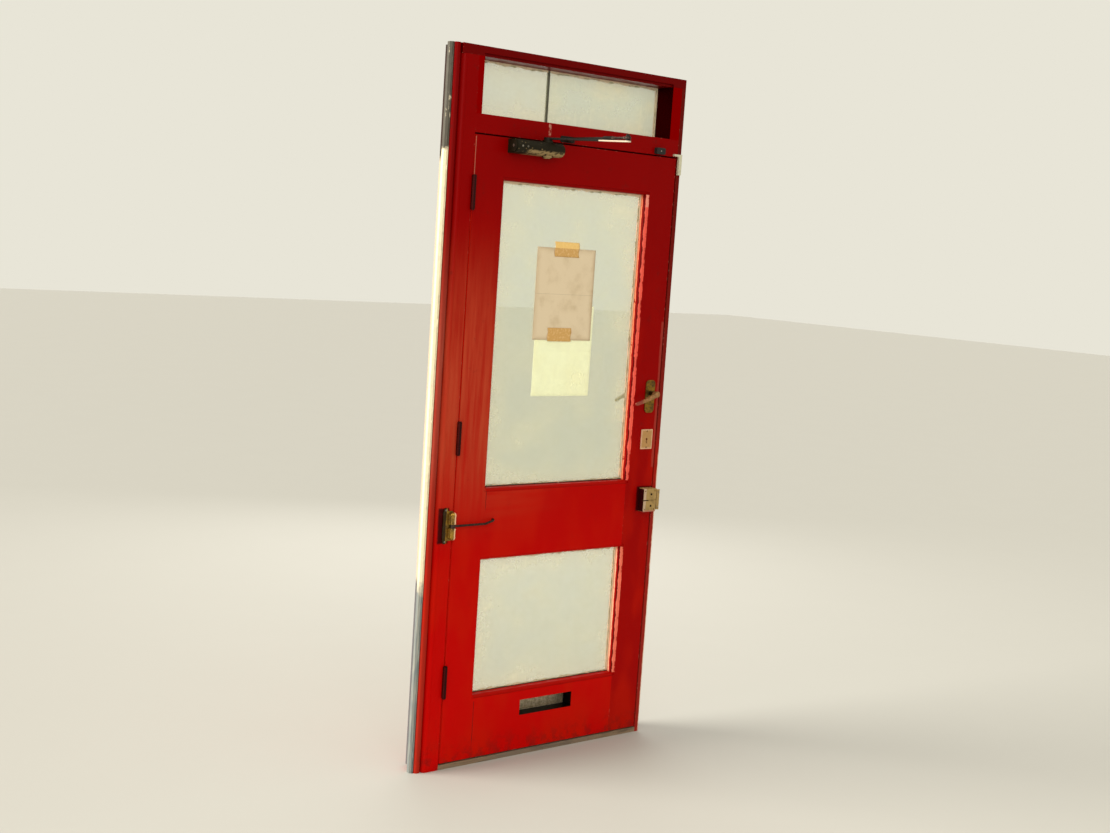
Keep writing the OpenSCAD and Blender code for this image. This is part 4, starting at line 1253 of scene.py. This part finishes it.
@dataclass
class Hinges(Assembly):
    """Three butt hinges, painted over, with screws in both halves."""

    heights: tuple[float, ...] = (0.290, 1.070, 1.827)
    hole_gap: float = 24.0 * MM
    near_y: float = ROOM_FACE + 8.0 * MM
    far_y: float = ROOM_FACE + 22.0 * MM

    def build(self) -> None:
        """Paints the hinges and drives their screws."""
        holes = ((-1.5, self.far_y), (-0.5, self.near_y), (0.5, self.far_y), (1.5, self.near_y))
        for body, face, face_x in (
            ("frame", Face.LOCK_SIDE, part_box("hinge_post")[1].x),
            ("leaf", Face.HINGE_SIDE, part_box("hinge_stile")[0].x),
        ):
            node = f"{body}_hinge_plates"
            low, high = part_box(node)
            # The knuckles' far side is painted darker still, as painted shade.
            plates = ((low.x + 0.0032, high.x), (-0.07, 0.0), (0.0, 3.0))
            shade = Stain(*plates, (0.022, 0.0015, 0.0012), ragged=2.0 * MM)
            self.coat(replace(HINGE_PAINT_IN_SHADE, stains=(shade,)), node)
            screws = Screws(radius=3.8 * MM, proud=0.25 * MM)
            for z in self.heights:
                for row, y in holes:
                    screws.add((face_x, y, z + row * self.hole_gap), face)
            screws.done(f"{body}_hinge_screws", body)


@dataclass
class OverheadCloser(Assembly):
    """Closer body, arms and shoe, with its plugs, the elbow's nut and the shoe's screws."""

    elbow: tuple[float, float] = (-0.028, -0.311)
    nut_r: float = 6.0 * MM
    nut_h: float = 4.0 * MM
    plug_y: float = 21.5 * MM
    plug_z: float = 1.9785
    valve_xs: tuple[float, ...] = (20.0 * MM, 40.0 * MM)

    def nut(self) -> None:
        """Sets a bevelled nut on the elbow's pin."""
        radius, tall = self.nut_r, self.nut_h
        seat = Vector((*self.elbow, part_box("closer_arm")[1].z - 0.2 * MM))
        shape = bmesh.new()
        bmesh.ops.create_cone(shape, cap_ends=True, segments=6, radius1=radius, radius2=radius, depth=tall)
        bmesh.ops.bevel(
            shape, geom=shape.edges[:], offset=tall * 0.14, offset_type="OFFSET", affect="EDGES",
            segments=2, profile=0.5, material=-1,
        )
        bmesh.ops.create_cone(
            shape, cap_ends=True, segments=28, radius1=radius * 0.62, radius2=radius * 0.55, depth=tall * 0.3,
            matrix=Matrix.Translation((0.0, 0.0, tall * 0.62)),
        )
        shape.transform(Matrix.Translation(seat + Vector((0.0, 0.0, tall / 2.0))))
        paint = ARM_PAINT.make("elbow_nut_paint", (seat, seat + Vector((radius, radius, tall))))
        settle(shape, "elbow_nut", "main_arm", paint)

    def build(self) -> None:
        """Dresses the closer and adds its fittings."""
        self.coat(CLOSER_PAINT, "closer_body")
        self.coat(ARM_PAINT, "closer_forearm", "closer_shoe")
        low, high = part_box("closer_arm")
        # The arm is paler along its lower part near the elbow.
        arm = ((low.x, high.x), (low.y, -0.236), (2.000, 2.0118))
        bright_band = Stain(*arm, (0.74, 0.60, 0.46), 1.5 * MM, 2.0 * MM)
        self.coat(replace(ARM_PAINT, stains=(bright_band,)), "closer_arm")
        self.nut()
        self.dress("forearm_rod_end", DARK_ROD.make("rod_end_plate"))
        self.plugs()
        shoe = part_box("closer_shoe")
        screws = Screws(radius=3.4 * MM)
        for x in (shoe[0].x + 7.0 * MM, shoe[1].x - 7.0 * MM):
            screws.add((x, ROOM_FACE - PLATE_T, middle(shoe).z), Face.ROOM)
        screws.done("closer_shoe_screws", "frame")

    def plugs(self) -> None:
        """Fits the slotted end plugs and the valve screws."""
        low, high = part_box("closer_body")
        screws = Screws(radius=4.6 * MM, proud=1.2 * MM, slot_w=1.4 * MM, slot_deep=0.8 * MM)
        sunk = 1.5 * MM
        screws.add((low.x + sunk, low.y + self.plug_y, self.plug_z), Face.HINGE_SIDE)
        screws.add((high.x - sunk, low.y + self.plug_y, self.plug_z), Face.LOCK_SIDE)
        for x in self.valve_xs:
            screws.add((low.x + x, low.y + 0.1 * MM, self.plug_z), Face.ROOM, 0.7)
        screws.done("closer_plugs", "leaf")


@dataclass
class SpringCloser(Assembly):
    """The small spring closer low on the hinge side."""

    def build(self) -> None:
        """Dresses its body and arm and adds its screws."""
        low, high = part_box("spring_closer_body")
        z = (low.z, high.z)
        # A painted highlight down the right of the barrels; painted shade on the plate's left edge.
        bright_band = Stain(
            (high.x - 0.0095, high.x - 0.003), (-0.08, -0.060), z, (1.0, 0.70, 0.44), 1.2 * MM, 2.0 * MM
        )
        dark = Stain((low.x - 0.01, low.x + 0.010), (-0.08, -0.040), z, (0.030, 0.018, 0.008), 2.0 * MM)
        self.coat(replace(SPRING_BRASS, stains=(dark, bright_band)), "spring_closer_body")
        self.dress("spring_closer_arm", DARK_ROD.make("spring_closer_rod"))
        screws = Screws(radius=3.0 * MM)
        for height in (low.z + 7.0 * MM, high.z - 7.0 * MM):
            screws.add((low.x + 9.0 * MM, ROOM_FACE - PLATE_T, height), Face.ROOM)
        screws.done("spring_closer_screws", "frame")


@dataclass
class HandlesAndLocks(Assembly):
    """Handle plates, levers, keyhole plates, rim lock, latch and door contact."""

    handle_x: float = 0.3655
    plate_screws: Span = (1.145, 1.245)
    keyhole_screws: Span = (1.019, 1.075)
    keyhole_t: float = 3.0 * MM
    recess_x: float = 0.384
    recess_zs: Span = (0.818, 0.858)
    recess_r: float = 5.2 * MM
    key_slot: Span = (0.8355, 0.8385)

    def build(self) -> None:
        """Dresses the hardware and adds its screws."""
        self.coat(BRASS, "inside_handle_plate", "outside_handle_plate", "mortice_latch", "latch_keep")
        self.levers()
        for node in ("inside_keyhole_plate", "outside_keyhole_plate"):
            low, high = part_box(node)
            x, z = (low.x + 0.005, high.x - 0.005), (low.z + 0.006, high.z - 0.006)
            worn = Stain(x, (low.y - 0.01, high.y + 0.01), z, (0.41, 0.215, 0.066), 2.0 * MM, 4.0 * MM, 0.9)
            self.coat(replace(CREAM_ENAMEL, stains=(worn,)), node)
        self.coat(replace(RIM_ENAMEL, stains=self.rim_stains()), "rim_lock_box")
        self.coat(RIM_ENAMEL, "rim_lock_keep")
        self.coat(WHITE_PLASTIC, "door_contact")
        self.coat(BLACK_PLASTIC, "transom_stop")
        self.leaf_screws()
        self.keep_screws()

    def levers(self) -> None:
        """Dresses the levers, with a painted shadow at their necks, dark on the street and red at the tip."""
        neck_shadow = Stain((0.0, 0.5), (-0.0735, -0.040), (1.0, 1.3), (0.020, 0.018, 0.010), 1.5 * MM, 2.0 * MM)
        street = Stain((0.0, 0.5), (0.0, 0.1), (1.0, 1.3), (0.050, 0.035, 0.020), cover=0.85)
        tip = Stain((0.27, 0.298), (-0.1, 0.0), (1.0, 1.3), (0.32, 0.050, 0.045), 14.0 * MM, cover=0.8)
        self.dress("lever_handles", replace(LEVER_BRASS, stains=(tip, neck_shadow, street)).make("lever_brass"))

    def rim_stains(self) -> tuple[Stain, ...]:
        """Works out the stains of the rim lock.

        Returns:
            its wear, the red paint on its side, the painted shade in its recesses and its key slot.
        """
        low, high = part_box("rim_lock_box")
        face = (low.y - 0.01, low.y + 0.01)
        worn = ((low.x + 0.0006, low.x + 0.010), face, (low.z, high.z))
        foot = ((low.x, high.x), face, (low.z - 0.001, low.z + 0.004))
        side = ((low.x - 0.01, low.x + 0.0004), (low.y + 0.0005, high.y), (low.z - 0.01, high.z + 0.01))
        stains = [
            Stain(*worn, (0.56, 0.40, 0.29), 2.0 * MM, cover=0.7),
            Stain(*foot, (0.40, 0.14, 0.10), 2.0 * MM, cover=0.8),
            Stain(*side, (0.026, 0.0010, 0.0015), 0.4 * MM, 0.0, 1.0),
        ]
        # The recesses are painted black as shade.
        across = (self.recess_x - self.recess_r, self.recess_x + self.recess_r)
        for z in self.recess_zs:
            recess = (across, (low.y + 0.0003, high.y), (z - self.recess_r, z + self.recess_r))
            stains.append(Stain(*recess, PAINTED_RECESS_SHADE, 0.3 * MM, 0.0, 1.0))
        stains.append(Stain((low.x, low.x + 0.024), face, self.key_slot, (0.030, 0.015, 0.006)))
        return tuple(stains)

    def leaf_screws(self) -> None:
        """Drives the screws of the handle plates, the keyhole plates and the rim lock's box."""
        screws = Screws(radius=3.0 * MM)
        for face, surface, out in ((Face.ROOM, ROOM_FACE, -1.0), (Face.STREET, STREET_FACE, 1.0)):
            for z in self.plate_screws:
                screws.add((self.handle_x, surface + out * PLATE_T, z), face)
            for z in self.keyhole_screws:
                screws.add((self.handle_x, surface + out * self.keyhole_t, z), face, 0.85)
        low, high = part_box("rim_lock_box")
        for x in (low.x + 7.0 * MM, high.x - 7.0 * MM):
            for z in (low.z + 8.0 * MM, high.z - 8.0 * MM):
                screws.add((x, low.y, z), Face.ROOM, 0.8)
        screws.done("leaf_plate_screws", "leaf", BRASS)

    def keep_screws(self) -> None:
        """Drives the screws of both keeps and of the transom's stop."""
        screws = Screws(radius=2.6 * MM)
        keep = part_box("rim_lock_keep")
        for z in (keep[0].z + 9.0 * MM, keep[1].z - 9.0 * MM):
            screws.add((middle(keep).x, keep[0].y, z), Face.ROOM)
        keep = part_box("latch_keep")
        for z in (keep[0].z + 8.0 * MM, keep[1].z - 8.0 * MM):
            screws.add((keep[0].x, middle(keep).y, z), Face.HINGE_SIDE)
        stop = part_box("transom_stop")
        screws.add((middle(stop).x, stop[0].y, middle(stop).z), Face.ROOM)
        screws.done("frame_keep_screws", "frame")


@dataclass
class LetterPlate(Assembly):
    """The letter plate and its flap on the street side."""

    plate_t: float = 5.0 * MM

    def build(self) -> None:
        """Dresses both and adds the plate's screws."""
        self.coat(LETTER_METAL, "letter_plate", "letter_flap")
        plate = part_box("letter_plate")
        screws = Screws(radius=4.0 * MM)
        for x in (plate[0].x + 10.0 * MM, plate[1].x - 10.0 * MM):
            screws.add((x, STREET_FACE + self.plate_t, middle(plate).z), Face.STREET)
        screws.done("letter_plate_screws", "leaf")


@dataclass
class Studio:
    """Pale floor, soft lights and the camera at the photograph's station."""

    station: Point = (-2.8331, -3.6852, 1.6620)
    aim: Point = (-0.035, -0.050, 1.132)
    roll_deg: float = 3.831
    lens: float = 45.98
    sky: Colour = (0.95, 0.92, 0.80)
    sky_power: float = 0.85

    def look(self, made: bpy.types.Object, gaze: Vector, roll_deg: float = 0.0) -> None:
        """Turns a light or a camera.

        Args:
            made: the light or the camera.
            gaze: the way that it looks.
            roll_deg: how far it is turned about that way, in degrees.
        """
        roll = Matrix.Rotation(math.radians(roll_deg), 3, "Z").to_quaternion()
        made.rotation_mode = "QUATERNION"
        made.rotation_quaternion = gaze.to_track_quat("-Z", "Y") @ roll

    def lamp(self, name: str, at: Point, size: float, power: float, tint: Colour) -> None:
        """Hangs a soft light that looks at the door.

        Args:
            name: the lamp's name.
            at: where it hangs.
            size: its side, in metres.
            power: its power in watts.
            tint: its colour.
        """
        data = bpy.data.lights.new(name, "AREA")
        data.size, data.energy, data.color = size, power, tint
        lamp = link(name, data)
        lamp.location = at
        lamp.visible_camera = False
        self.look(lamp, Vector(self.aim) - Vector(at))

    def sun(self, name: str, heading: Point, power: float, spread_deg: float, tint: Colour) -> None:
        """Adds a far, soft light.

        Args:
            name: the light's name.
            heading: the way from the door to the light.
            power: its power in watts on each square metre.
            spread_deg: how wide it looks, in degrees.
            tint: its colour.
        """
        data = bpy.data.lights.new(name, "SUN")
        data.angle, data.energy, data.color = math.radians(spread_deg), power, tint
        self.look(link(name, data), -Vector(heading))

    def floor(self) -> None:
        """Lays the floor."""
        shape = grid(1, 1, 30.0)
        mesh = bpy.data.meshes.new("studio_floor")
        shape.to_mesh(mesh)
        shape.free()
        mesh.materials.append(StagePaint().make("studio_floor_paint"))
        link("studio_floor", mesh)

    def camera(self) -> None:
        """Sets the camera."""
        data = bpy.data.cameras.new("photo_camera")
        data.sensor_width, data.lens = 36.0, self.lens
        data.clip_start, data.clip_end = 0.05, 100.0
        camera = link("photo_camera", data)
        camera.location = self.station
        self.look(camera, Vector(self.aim) - Vector(self.station), self.roll_deg)
        bpy.context.scene.camera = camera

    def build(self) -> None:
        """Lays the floor, hangs the lights and sets the camera."""
        self.floor()
        world = bpy.data.worlds.new("studio")
        world.use_nodes = True
        background = world.node_tree.nodes["Background"]
        background.inputs["Color"].default_value = (*self.sky, 1.0)
        background.inputs["Strength"].default_value = self.sky_power
        bpy.context.scene.world = world
        bpy.context.scene.view_settings.view_transform = "Standard"
        self.lamp("room_lamp", (-2.2, -3.6, 2.6), 2.6, 54.0, (1.0, 0.96, 0.90))
        self.lamp("back_lamp", (1.8, 3.2, 2.4), 2.6, 40.0, (1.0, 0.98, 0.95))
        self.sun("street_sun", (-0.84, 0.42, 0.22), 7.0, 40.0, (1.0, 0.96, 0.86))
        self.camera()


def main() -> None:
    """Builds each sub-assembly in order."""
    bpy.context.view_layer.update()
    Studio().build()
    builders: list[type[Assembly]] = [
        TimberFrame, DoorLeaf, Glazing, Notices, Hinges, OverheadCloser, SpringCloser, HandlesAndLocks,
        LetterPlate,
    ]
    for builder in builders:
        log.info("building %s", builder.__name__)
        builder().build()


if __name__ == "__main__":
    logging.basicConfig(level=logging.INFO, format="%(name)s: %(message)s")
    main()
